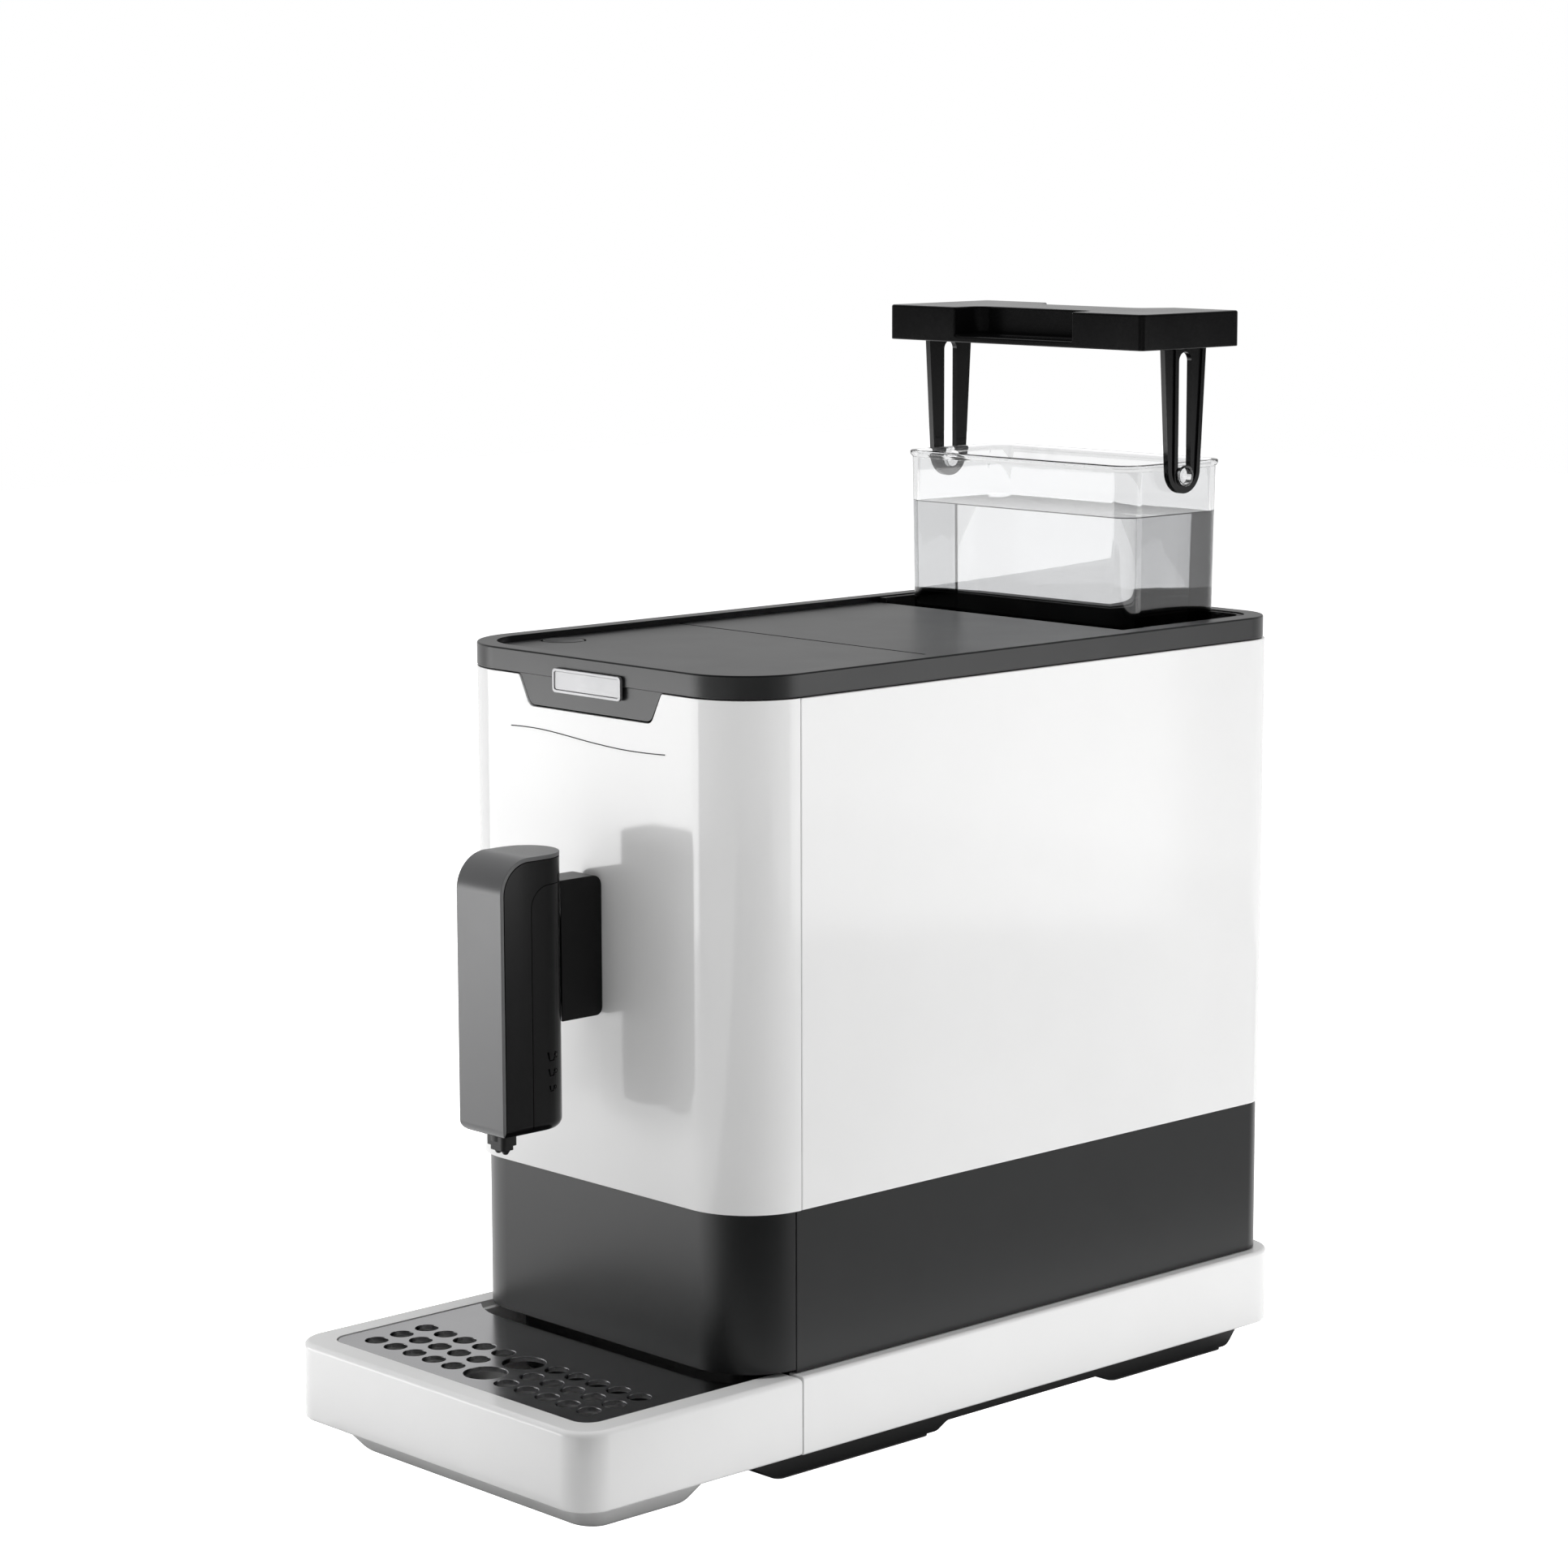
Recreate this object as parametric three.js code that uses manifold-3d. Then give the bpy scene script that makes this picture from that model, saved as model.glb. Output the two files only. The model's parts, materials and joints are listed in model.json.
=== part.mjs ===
// A slim bean-to-cup coffee machine, in millimetres, +Z up.
// X runs across the machine, Y from its front (-Y) to its back (+Y). The origin is under its centre, at table height.
// Every piece is one closed solid. The water tank is drawn seated in its well, and its group lifts it half out.

import * as THREE from 'three';
import Module from 'manifold-3d';
import { mergeVertices } from 'three/addons/utils/BufferGeometryUtils.js';

const wasm = await Module();
wasm.setup();

// ---------- driving dimensions ----------

const WIDTH = 180; // across the white skirt and the drip tray
const DEPTH = 395; // from the tray's front to the skirt's back
const HEIGHT = 319.2; // to the top of the dark top frame
const GAP = 0.4; // line between two covers

const BODY_HALF = 88; // white body
const BODY_FRONT = -114.3;
const BODY_BACK = 194;
const BODY_FRONT_R = 30;
const BODY_BACK_R = 18;
const BODY_BOTTOM = 111;
const INSET = 2.8; // the dark lower housing stands back by this much
const LOWER_BACK_R = 11.2;
const WALL = 2.4; // covers
const SEAM_Y = -84.3; // between the front cover and the side panels

const SKIRT_TOP = 45.5;
const SKIRT_BOTTOM = 14;
const SKIRT_R = 17;

const FRAME_BOTTOM = 310; // top frame
const FRAME_BAND = 8;
const FRAME_BACK_R = 20;
const DECK = 316.8;
const DECK_THICK = 3;
const LID_SEAM_Y = 3.3; // between the control panel and the hopper lid
const WELL_FRONT = 119; // front of the tank well, behind the hopper lid
const TAB_TOP_HALF = 43.2;
const TAB_LOW_HALF = 34.6;
const TAB_BOTTOM = 298.2;

const TANK_HALF = 65.5; // outer wall of the tank at its rim
const TANK_FRONT = 121.4;
const TANK_BACK = 181.5;
const TANK_SEATED_RIM = 302;
const TANK_HEIGHT = 172;
const TANK_WALL = 2.2;
const TANK_LIFT = 82; // how far out of the well the tank stands at rest
const TANK_MID = (TANK_FRONT + TANK_BACK) / 2;
const LID_HALF = 73.5;
const LID_THICK = 14.8;
const LID_RAISE = 47.1; // the lid's travel on its arms
const ARM_INNER = 67;
const ARM_THICK = 2.6;
const PEG_DROP = 5.2; // the pegs sit this far below the rim
const SLOT_R = 3.8;

const SPOUT_FRONT = -170.6;
const SPOUT_HALF = 13.3;
const SPOUT_BACK_CENTRE = -147.5;
const SPOUT_BOTTOM = 139.5;
const SPOUT_TOP = 248;
const SPOUT_WALL = 2.2;
const BRACKET_HALF = 6.8;
const BRACKET_BOTTOM = 180;
const BRACKET_TOP = 235.6;

const TRAY_BACK = -86.2;
const TRAY_R = 14;
const TRAY_RIM = 11;
const GRATE_TOP = 45.2;
const GRATE_THICK = 2;
const HOLE_PITCH_X = 12.2;
const HOLE_PITCH_Y = 12.65;
const HOLE_ROW_Y = -160.6;

const BREW_Y = -45; // axis of the brew chamber
const BREW_R = 22;
const GRIND_Y = 62; // axis of the grinder
const MODULE = 1.25; // of every gear

// ---------- materials ----------

const look = (color, roughness, metalness = 0, extra = {}) =>
  new THREE.MeshStandardMaterial({ color, roughness, metalness, ...extra });
const white = () => look(0xf2f2f1, 0.22);
const charcoal = () => look(0x4a4b4d, 0.5);
const black = () => look(0x151516, 0.45);
const glossBlack = () => look(0x0b0b0c, 0.12);
const steel = () => look(0xb9bbbd, 0.28, 1);
const clear = () => look(0xe8edf0, 0.06, 0, { transparent: true, opacity: 0.3 });
const rubber = () => look(0x1c1c1c, 0.85);
const silicone = () => look(0xd9d9d4, 0.55);
const nylon = () => look(0xd8d5cb, 0.5);
const brass = () => look(0xb08d4a, 0.35, 1);
const aluminium = () => look(0xa7a9ac, 0.4, 1);
const boardGreen = () => look(0x1f5b3a, 0.6);

// ---------- shapes ----------

const CURVE = 5; // segments in a quarter of a large corner

/** A rectangle whose corners are rounded by [front left, front right, back right, back left]. */
function rounded(x0, x1, y0, y1, radii) {
  const [fl, fr, br, bl] = Array.isArray(radii) ? radii : [radii, radii, radii, radii];
  const shape = new THREE.Shape();
  const corner = (cx, cy, r, from) => {
    if (r > 0) shape.absarc(cx, cy, r, from, from + Math.PI / 2, false);
    else shape.lineTo(cx, cy);
  };
  shape.moveTo(x0 + fl, y0);
  shape.lineTo(x1 - fr, y0);
  corner(x1 - fr, y0 + fr, fr, -Math.PI / 2);
  shape.lineTo(x1, y1 - br);
  corner(x1 - br, y1 - br, br, 0);
  shape.lineTo(x0 + bl, y1);
  corner(x0 + bl, y1 - bl, bl, Math.PI / 2);
  shape.lineTo(x0, y0 + fl);
  corner(x0 + fl, y0 + fl, fl, Math.PI);
  return shape;
}

const polygon = (points) => new THREE.Shape(points.map(([x, y]) => new THREE.Vector2(x, y)));

function circle(x, y, r) {
  const shape = new THREE.Shape();
  shape.absarc(x, y, r, 0, 2 * Math.PI, false);
  return shape;
}

/** Turns a closed geometry into a solid that can be joined and cut. */
function solid(geometry) {
  const g = geometry.clone();
  g.deleteAttribute('normal');
  g.deleteAttribute('uv');
  const merged = mergeVertices(g, 1e-4);
  return new wasm.Manifold(
    new wasm.Mesh({
      numProp: 3,
      vertProperties: new Float32Array(merged.attributes.position.array),
      triVerts: new Uint32Array(merged.index.array),
    }),
  );
}

/** A shape in the XY plane, raised from z0 to z1. */
function slab(shape, z0, z1, segments = CURVE) {
  const g = new THREE.ExtrudeGeometry(shape, { depth: z1 - z0, bevelEnabled: false, curveSegments: segments });
  return solid(g.translate(0, 0, z0));
}

/** A shape drawn in (x, z), standing from y0 to y1. */
function upright(shape, y0, y1, segments = CURVE) {
  const g = new THREE.ExtrudeGeometry(shape, { depth: y1 - y0, bevelEnabled: false, curveSegments: segments });
  return solid(g.rotateX(Math.PI / 2).translate(0, y1, 0));
}

/** A shape drawn in (y, z), reaching from x0 to x1. */
function sideways(shape, x0, x1, segments = CURVE) {
  const g = new THREE.ExtrudeGeometry(shape, { depth: x1 - x0, bevelEnabled: false, curveSegments: segments });
  return solid(g.rotateX(Math.PI / 2).rotateZ(Math.PI / 2).translate(x0, 0, 0));
}

/** A slab whose lower outline is shrunk about (cx, cy). */
function tapered(shape, z0, z1, cx, cy, shrinkX, shrinkY) {
  const g = new THREE.ExtrudeGeometry(shape, { depth: z1 - z0, bevelEnabled: false, curveSegments: CURVE });
  const p = g.attributes.position;
  for (let i = 0; i < p.count; i++) {
    if (p.getZ(i) > (z1 - z0) / 2) continue;
    p.setXY(i, cx + (p.getX(i) - cx) * shrinkX, cy + (p.getY(i) - cy) * shrinkY);
  }
  return solid(g.translate(0, 0, z0));
}

const box = (x0, x1, y0, y1, z0, z1) =>
  solid(new THREE.BoxGeometry(x1 - x0, y1 - y0, z1 - z0).translate((x0 + x1) / 2, (y0 + y1) / 2, (z0 + z1) / 2));

/** A turned piece about a vertical axis, from its (radius, height) profile. */
function turned(profile, x, y, segments = 20) {
  const points = profile.map(([r, z]) => new THREE.Vector2(r, z));
  return solid(new THREE.LatheGeometry(points, segments).rotateX(Math.PI / 2).translate(x, y, 0));
}

/** A round bar about the axis 'x', 'y' or 'z', through the given centre of its near end. */
function bar(axis, r, length, [x, y, z], segments = 16) {
  const g = new THREE.CylinderGeometry(r, r, length, segments).translate(0, length / 2, 0);
  if (axis === 'x') g.rotateZ(-Math.PI / 2);
  if (axis === 'z') g.rotateX(Math.PI / 2);
  return solid(g.translate(x, y, z));
}

const join = (first, ...rest) => rest.reduce((a, b) => a.add(b), first);
const cut = (first, ...rest) => rest.reduce((a, b) => a.subtract(b), first);

/** A hose of radius r with eight sides, along a smooth line through the points. */
function hose(points, r, steps) {
  const path = new THREE.CatmullRomCurve3(points.map((p) => new THREE.Vector3(...p)), false, 'catmullrom', 0.4);
  return solid(
    new THREE.ExtrudeGeometry(circle(0, 0, r), { extrudePath: path, steps, bevelEnabled: false, curveSegments: 4 }),
  );
}

/** The outline of a spur gear, with slim straight-sided teeth. */
function gearShape(teeth, turn = 0) {
  const pitch = (MODULE * teeth) / 2;
  const points = [];
  for (let i = 0; i < teeth; i++) {
    const at = turn + (2 * Math.PI * i) / teeth;
    for (const [side, radius, half] of [
      [-1, pitch - 1.35, 1.05],
      [-1, pitch + 0.9, 0.4],
      [1, pitch + 0.9, 0.4],
      [1, pitch - 1.35, 1.05],
    ]) {
      const angle = at + (side * half) / radius;
      points.push([radius * Math.cos(angle), radius * Math.sin(angle)]);
    }
  }
  return polygon(points);
}

// ---------- the assembly ----------

const machine = new THREE.Group();
machine.name = 'coffee_machine';

function add(name, piece, material, parent = machine) {
  const { vertProperties, triVerts } = piece.getMesh();
  const g = new THREE.BufferGeometry();
  g.setAttribute('position', new THREE.BufferAttribute(new Float32Array(vertProperties), 3));
  g.setIndex(new THREE.BufferAttribute(new Uint32Array(triVerts), 1));
  g.computeVertexNormals();
  const mesh = new THREE.Mesh(g, material);
  mesh.name = name;
  parent.add(mesh);
  return mesh;
}

const bodyOutline = (off = 0, backR = BODY_BACK_R) =>
  rounded(-BODY_HALF + off, BODY_HALF - off, BODY_FRONT + off, BODY_BACK - off, [
    BODY_FRONT_R - off, BODY_FRONT_R - off, backR - off, backR - off,
  ]);

/** The front tab of the top frame, drawn in (x, z) and grown by the gap around it. */
function tabOutline(gap) {
  const half = [
    [TAB_LOW_HALF - 2 + gap * 0.5, TAB_BOTTOM - gap],
    [TAB_LOW_HALF + 1 + gap, TAB_BOTTOM + 1.7 - gap * 0.5],
    [TAB_TOP_HALF - 1 + gap, FRAME_BOTTOM - 1.5 - gap * 0.5],
    [TAB_TOP_HALF + 1.5 + gap, FRAME_BOTTOM],
    [TAB_TOP_HALF + 1.5 + gap, FRAME_BOTTOM + 2],
  ];
  return polygon([...half, ...half.map(([x, z]) => [-x, z]).reverse()]);
}

// ---------- base ----------

function base() {
  const half = WIDTH / 2;
  const back = DEPTH / 2;
  const plinthHalf = 74.5;

  // The pan carries everything. It reaches forward under the tray with a sloping nose.
  const profile = polygon([
    [-104, 13.8], [-104, 11.5], [-87, 1.3], [3, 1.3], [9, 4.5],
    [99, 4.5], [105, 1.3], [180, 1.3], [186, 8], [186, 13.8],
  ]);
  const pan = join(
    sideways(profile, -plinthHalf, plinthHalf),
    slab(rounded(-80, 80, -84, 188, [0, 0, 10, 10]), 11, 13.8),
  );
  add('base_pan', pan, black());

  for (const [row, y0, y1] of [['front', -84, 0], ['rear', 108, 178]]) {
    for (const [side, sx] of [['left', -1], ['right', 1]]) {
      const x0 = sx < 0 ? -plinthHalf + 1 : 30;
      add(`foot_${row}_${side}`, slab(rounded(x0, x0 + plinthHalf - 31, y0, y1, 3), 0, 1, 2), rubber());
    }
  }

  const skirt = (o) => rounded(-half + o, half - o, -400, back - o, [0, 0, SKIRT_R - o, SKIRT_R - o]);
  const inFront = box(-half - 5, half + 5, -420, TRAY_BACK + GAP * 2, 0, 60);
  add(
    'base_skirt',
    cut(slab(skirt(0), SKIRT_BOTTOM, SKIRT_TOP), slab(skirt(3), 0, 42.5), slab(skirt(8.5), 0, 60), inFront),
    white(),
  );
}

// ---------- housing ----------

function housing() {
  // Dark lower housing, a U that is open at the front.
  const outline = (o) =>
    rounded(-BODY_HALF + INSET + o, BODY_HALF - INSET - o, -400, BODY_BACK - INSET - o, [
      0, 0, LOWER_BACK_R - o, LOWER_BACK_R - o,
    ]);
  const front = box(-100, 100, -420, SEAM_Y - 0.3, 0, 400);
  const glandHole = bar('y', 8.3, 20, [-50, BODY_BACK - 15, 76]);
  add(
    'lower_housing',
    cut(slab(outline(0), 45.9, 110.7), slab(outline(WALL), 40, 120), front, glandHole),
    charcoal(),
  );

  // White shell: one outline, split into the front cover and two side panels that turn in at the back.
  const shell = cut(slab(bodyOutline(), BODY_BOTTOM, FRAME_BOTTOM - GAP), slab(bodyOutline(WALL), 100, 320));
  const rearHalf = 65.8;
  const backOpening = box(-rearHalf, rearHalf, 150, 210, 100, 320);
  const notch = upright(tabOutline(0.7), -130, -100);
  const tubeHole = bar('y', 5, 20, [0, -125, 215]);
  add(
    'front_cover',
    cut(shell, box(-100, 100, SEAM_Y - GAP / 2, 300, 0, 400), notch, tubeHole),
    white(),
  );
  const sides = cut(shell, box(-100, 100, -200, SEAM_Y + GAP / 2, 0, 400), backOpening);
  add('left_side_panel', cut(sides, box(0, 120, -200, 300, 0, 400)), white());
  add('right_side_panel', cut(sides, box(-120, 0, -200, 300, 0, 400)), white());

  // Rear panel with two blocks of vent slots.
  const rearFace = BODY_BACK - 0.4;
  let rear = box(-rearHalf + GAP, rearHalf - GAP, rearFace - WALL, rearFace, BODY_BOTTOM, FRAME_BOTTOM - GAP);
  for (let row = 0; row < 5; row++) {
    for (const x of [-27, 27]) rear = rear.subtract(box(x - 20, x + 20, 180, 200, 128 + row * 9, 131.4 + row * 9));
  }
  const screwsAt = [[-58, 120], [58, 120], [-58, 300], [58, 300]];
  for (const [x, z] of screwsAt) rear = rear.subtract(bar('y', 2.2, 20, [x, 180, z], 8));
  add('rear_panel', rear, charcoal());
  screwsAt.forEach(([x, z], i) => {
    const screw = join(bar('y', 3.6, 1.6, [x, BODY_BACK - 0.1, z], 12), bar('y', 1.8, 7, [x, BODY_BACK - 6.8, z], 8));
    const slot = box(x - 2.4, x + 2.4, BODY_BACK + 0.7, BODY_BACK + 3, z - 0.5, z + 0.5);
    const slotAcross = box(x - 0.5, x + 0.5, BODY_BACK + 0.7, BODY_BACK + 3, z - 2.4, z + 2.4);
    add(`rear_screw_${i + 1}`, cut(screw, slot, slotAcross), steel());
  });

  // Gland for the mains lead, in the back of the lower housing.
  const out = BODY_BACK - INSET;
  const gland = join(
    bar('y', 8, 6, [-50, out - 5, 76]),
    bar('y', 10, 2.2, [-50, out + 0.3, 76]),
    bar('y', 10, 2, [-50, out - WALL - 2.4, 76]),
  );
  add('cord_gland', cut(gland, bar('y', 3.8, 8, [-50, out - 4, 76])), rubber());
}

// ---------- top ----------

function top() {
  const ring = cut(
    slab(bodyOutline(0, FRAME_BACK_R), FRAME_BOTTOM, HEIGHT),
    slab(bodyOutline(FRAME_BAND, FRAME_BACK_R), 300, 330),
  );
  add('top_frame', join(ring, upright(tabOutline(0), BODY_FRONT + 0.5, BODY_FRONT + WALL)), charcoal());

  const plate = rounded(-20.3, 20.3, 304.6, 314.2, 1.6);
  const field = rounded(-18.9, 18.9, 306, 312.8, 1);
  add(
    'name_plate',
    cut(upright(plate, BODY_FRONT - 2.4, BODY_FRONT - 0.3, 3), upright(field, BODY_FRONT - 3, BODY_FRONT - 1.9, 3)),
    steel(),
  );

  // The deck: control panel in front, hopper lid behind it.
  const edge = BODY_HALF - FRAME_BAND - GAP;
  const deckFront = BODY_FRONT + FRAME_BAND + GAP;
  const deckR = BODY_FRONT_R - FRAME_BAND - GAP;
  const button = [-69, -69, 8.6];
  const panel = rounded(-edge, edge, deckFront, LID_SEAM_Y - GAP / 2, [deckR, deckR, 0, 0]);
  add(
    'control_panel',
    cut(slab(panel, DECK - DECK_THICK, DECK), bar('z', button[2] + 0.35, 20, [button[0], button[1], 300], 28)),
    charcoal(),
  );
  const dish = turned(
    [[0, DECK - 1.1], [5.5, DECK - 0.7], [7.6, DECK + 0.2], [7.6, DECK + 2], [0, DECK + 2]],
    button[0], button[1], 28,
  );
  const cap = join(
    bar('z', button[2], 4.3, [button[0], button[1], DECK - 4.2], 28),
    bar('z', button[2] + 1.6, 2, [button[0], button[1], DECK - 6], 28),
    bar('z', 3, 3, [button[0], button[1], DECK - 8.5], 12),
  );
  add('power_button', cut(cap, dish), charcoal());

  const hopperLid = rounded(-edge, edge, LID_SEAM_Y + GAP / 2, WELL_FRONT - GAP, 0);
  const rib = (o) => rounded(-72 + o, 72 - o, 10 + o, 113 - o, 6 - o);
  const skirt = cut(slab(rib(0), 309.5, 314, 4), slab(rib(2), 300, 320, 4));
  add('bean_lid', join(slab(hopperLid, DECK - DECK_THICK, DECK), skirt), charcoal());
}

// ---------- beans and grinder ----------

function grinder() {
  // The hopper narrows towards the burrs.
  const mouth = rounded(-77, 77, 6, 117, 8);
  const inside = rounded(-75, 75, 8, 115, 7);
  const throatR = 17;
  const funnel = cut(
    tapered(mouth, 267, 309.2, 0, GRIND_Y, 0.42, 0.5),
    tapered(inside, 269.2, 310, 0, GRIND_Y, 0.4, 0.47),
    bar('z', throatR, 10, [0, GRIND_Y, 262]),
  );
  const knobWell = [57, GRIND_Y, 272];
  const hopper = cut(join(funnel, bar('z', 12, 28, knobWell, 16)), bar('z', 10, 60, [57, GRIND_Y, 262], 16));
  add('bean_hopper', hopper, look(0x2a2a2c, 0.3));

  const housingR = 31;
  const bowl = turned(
    [[6, 231], [housingR, 231], [housingR, 266], [housingR - 3, 266], [housingR - 3, 235], [6, 235], [6, 231]],
    0, GRIND_Y, 20,
  );
  const outlet = box(8, 24, 20, 50, 235.2, 250);
  add('grinder_housing', cut(bowl, outlet), look(0x303236, 0.5));

  // Burrs: a fixed ring in a threaded carrier above, a driven ring below.
  add(
    'upper_burr',
    turned([[14, 251.5], [27.4, 251.5], [27.4, 258], [19, 261], [14, 257], [14, 251.5]], 0, GRIND_Y, 20),
    steel(),
  );
  const lower = join(
    turned([[0, 238], [27, 238], [27, 245], [16, 249], [8, 254], [0, 256]], 0, GRIND_Y, 20),
    bar('z', 4.6, 26, [0, GRIND_Y, 213], 16),
  );
  add('lower_burr', lower, steel());

  const bigTeeth = 30;
  const pinionTeeth = 10;
  const spread = (MODULE * (bigTeeth + pinionTeeth)) / 2;
  const gearBody = slab(gearShape(bigTeeth, Math.PI / bigTeeth), 221, 227);
  const hubHole = bar('z', 4.9, 20, [0, 0, 212], 16);
  const gear = cut(gearBody, hubHole).translate([0, GRIND_Y, 0]);
  add('burr_gear', gear, nylon());

  const pinionX = -spread;
  const pinion = join(slab(gearShape(pinionTeeth), 220.5, 227.5), bar('z', 2.5, 8.5, [0, 0, 213], 12));
  add('motor_pinion', pinion.translate([pinionX, GRIND_Y, 0]), brass());
  const motor = turned([[0, 156], [17, 156], [19, 158], [19, 210], [17, 212], [0, 212]], pinionX, GRIND_Y, 24);
  add('grinder_motor', cut(motor, bar('z', 2.9, 10, [pinionX, GRIND_Y, 209], 12)), steel());

  const knob = join(
    turned([[0, 278], [9, 278], [9, 298], [0, 298]], 57, GRIND_Y, 14),
    box(55.8, 58.2, GRIND_Y - 8.6, GRIND_Y + 8.6, 297, 303),
  );
  const knobStem = bar('z', 3, 16, [57, GRIND_Y, 262.5], 10);
  add('grind_knob', join(knob, knobStem), black());

  // Chute from the burrs down to the brew chamber.
  const chute = (o, ends) => sideways(
    polygon([[33 + ends, 228 + o], [33 + ends, 250 - o], [-21 - ends, 194 - o], [-21 - ends, 172 + o]]),
    8 + o, 24 - o,
  );
  const clearance = bar('z', housingR + 0.4, 60, [0, GRIND_Y, 215], 20);
  add('grounds_chute', cut(chute(0, 0), chute(2, 0), chute(2, 4), clearance), look(0x303236, 0.5));
}

// ---------- brewing ----------

function brewing() {
  const floorPlate = cut(
    box(-82, 82, -82, 117, 112, 115),
    bar('z', 29, 20, [0, BREW_Y, 105]),
    box(-50, 50, 20, 120, 105, 120),
  );
  add('chassis_floor', floorPlate, aluminium());

  // A gantry: base ring, two uprights and a bridge that guides the piston rod.
  const gearY = BREW_Y + 4 + MODULE + 10;
  const gearZ = 226;
  const frame = cut(
    join(
      box(-34, 34, BREW_Y - 30, BREW_Y + 30, 115.3, 119),
      box(-34, -30, BREW_Y - 8, BREW_Y + 24, 118, 250),
      box(30, 34, BREW_Y - 8, BREW_Y + 24, 118, 250),
      box(-34, 34, BREW_Y - 8, BREW_Y + 8, 246, 250),
    ),
    bar('z', 24, 20, [0, BREW_Y, 105], 28),
    box(-5.4, 5.4, BREW_Y - 4.4, BREW_Y + 7, 240, 260),
    bar('x', 2.9, 100, [-50, gearY, gearZ], 16),
  );
  add('brew_frame', frame, look(0x2c2e31, 0.5));

  add(
    'brew_chamber',
    turned([[0, 119.3], [BREW_R + 4, 119.3], [BREW_R + 4, 165], [BREW_R, 165], [BREW_R, 128], [0, 128]], 0, BREW_Y),
    look(0xc9c4b4, 0.4),
  );

  // Piston with a rack on the back of its rod.
  const head = turned([[0, 172], [BREW_R - 0.5, 172], [BREW_R - 0.5, 181], [12, 186], [0, 186]], 0, BREW_Y);
  let piston = join(head, box(-5, 5, BREW_Y - 4, BREW_Y + 4, 180, 292));
  const pitch = Math.PI * MODULE;
  const rackBack = BREW_Y + 4;
  for (let i = -2; i <= 11; i++) {
    const z = gearZ + (i + 0.5) * pitch;
    const tooth = polygon([
      [rackBack - 0.5, z - 1.05], [rackBack, z - 1.05], [rackBack + 2.15, z - 0.4],
      [rackBack + 2.15, z + 0.4], [rackBack, z + 1.05], [rackBack - 0.5, z + 1.05],
    ]);
    piston = piston.add(sideways(tooth, -4, 4));
  }
  add('brew_piston', piston, nylon());

  const driveTeeth = 16;
  const wheel = sideways(gearShape(driveTeeth), -4, 4).translate([0, gearY, gearZ]);
  add('brew_gear', join(wheel, bar('x', 2.5, 64, [-28, gearY, gearZ], 12)), brass());
  const drive = join(bar('x', 13, 30, [34.4, gearY, gearZ], 24), bar('x', 9, 6, [64, gearY, gearZ], 20));
  add('brew_motor', cut(drive, bar('x', 2.9, 6, [32, gearY, gearZ], 12)), steel());
}

// ---------- water and power ----------

function water() {
  const block = join(
    slab(rounded(44, 80, -72, 8, 5), 120, 176, 3),
    bar('z', 4, 9, [62, -60, 172], 12),
    bar('z', 4, 9, [62, -4, 172], 12),
  );
  add('water_heater', block, aluminium());

  const pump = join(
    bar('y', 15, 46, [-63, 40, 134], 20),
    bar('y', 9, 16, [-63, 26, 134], 20),
    bar('y', 4, 14, [-63, 14, 134], 12),
    bar('y', 4, 8, [-63, 84, 134], 12),
  );
  add('water_pump', pump, steel());

  const runs = {
    hose_tank_to_pump: [3, 12, [
      [0, TANK_MID, 116.4], [0, TANK_MID, 110], [-14, 138, 104], [-40, 116, 116], [-63, 102, 134], [-63, 92.6, 134],
    ]],
    hose_pump_to_heater: [3, 20, [
      [-63, 13.6, 134], [-63, 2, 134], [-50, -6, 150], [-10, 4, 176],
      [36, 4, 184], [57, -2, 194], [62, -4, 189], [62, -4, 181.4],
    ]],
    hose_heater_to_brew: [2.2, 14, [
      [62, -60, 181.4], [62, -60, 190], [50, -62, 205], [30, -60, 208], [20, -57, 196], [17, -54, 187],
    ]],
    hose_brew_to_spout: [3, 14, [
      [0, BREW_Y - 26.4, 140], [0, -78, 140], [0, -92, 156], [0, -98, 190], [0, -102, 212], [0, -111, 215],
    ]],
  };
  for (const [name, [r, steps, points]] of Object.entries(runs)) add(name, hose(points, r, steps), silicone());

  add('control_board', box(-80, -78, -76, 6, 130, 290), boardGreen());
}

// ---------- tank well and tank ----------

function tankWell() {
  const frameInner = BODY_BACK - FRAME_BAND - GAP;
  const flangeR = FRAME_BACK_R - FRAME_BAND - GAP;
  const flange = rounded(-79.6, 79.6, WELL_FRONT, frameInner, [3, 3, flangeR, flangeR]);
  const outer = rounded(-78.2, 78.2, WELL_FRONT, frameInner - 0.4, [3, 3, 10.2, 10.2]);
  const inner = rounded(-76.2, 76.2, WELL_FRONT + 1, 183.2, [2, 2, 8, 8]);
  const floorTop = TANK_SEATED_RIM - TANK_HEIGHT - 1;
  // The flange stands level with the deck in front, and with the frame beside and behind the tank.
  const raised = cut(slab(flange, DECK - 1, HEIGHT - 0.5), box(-90, 90, 100, WELL_FRONT + 1.5, 300, 330));
  const well = cut(
    join(slab(outer, floorTop - 3, DECK - 2), slab(flange, DECK - 3.3, DECK - 0.3), raised),
    slab(inner, floorTop, DECK + 2),
    bar('z', 9.6, 20, [0, TANK_MID, floorTop - 15], 20),
  );
  add('tank_well', well, black());
  const socket = turned(
    [[3, floorTop - 12], [6, floorTop - 12], [6, floorTop - 5.6], [12, floorTop - 5.6], [12, floorTop - 3.4],
      [9.2, floorTop - 3.4], [9.2, floorTop - 0.4], [3, floorTop - 0.4], [3, floorTop - 12]],
    0, TANK_MID, 20,
  );
  add('tank_socket', socket, rubber());
}

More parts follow.
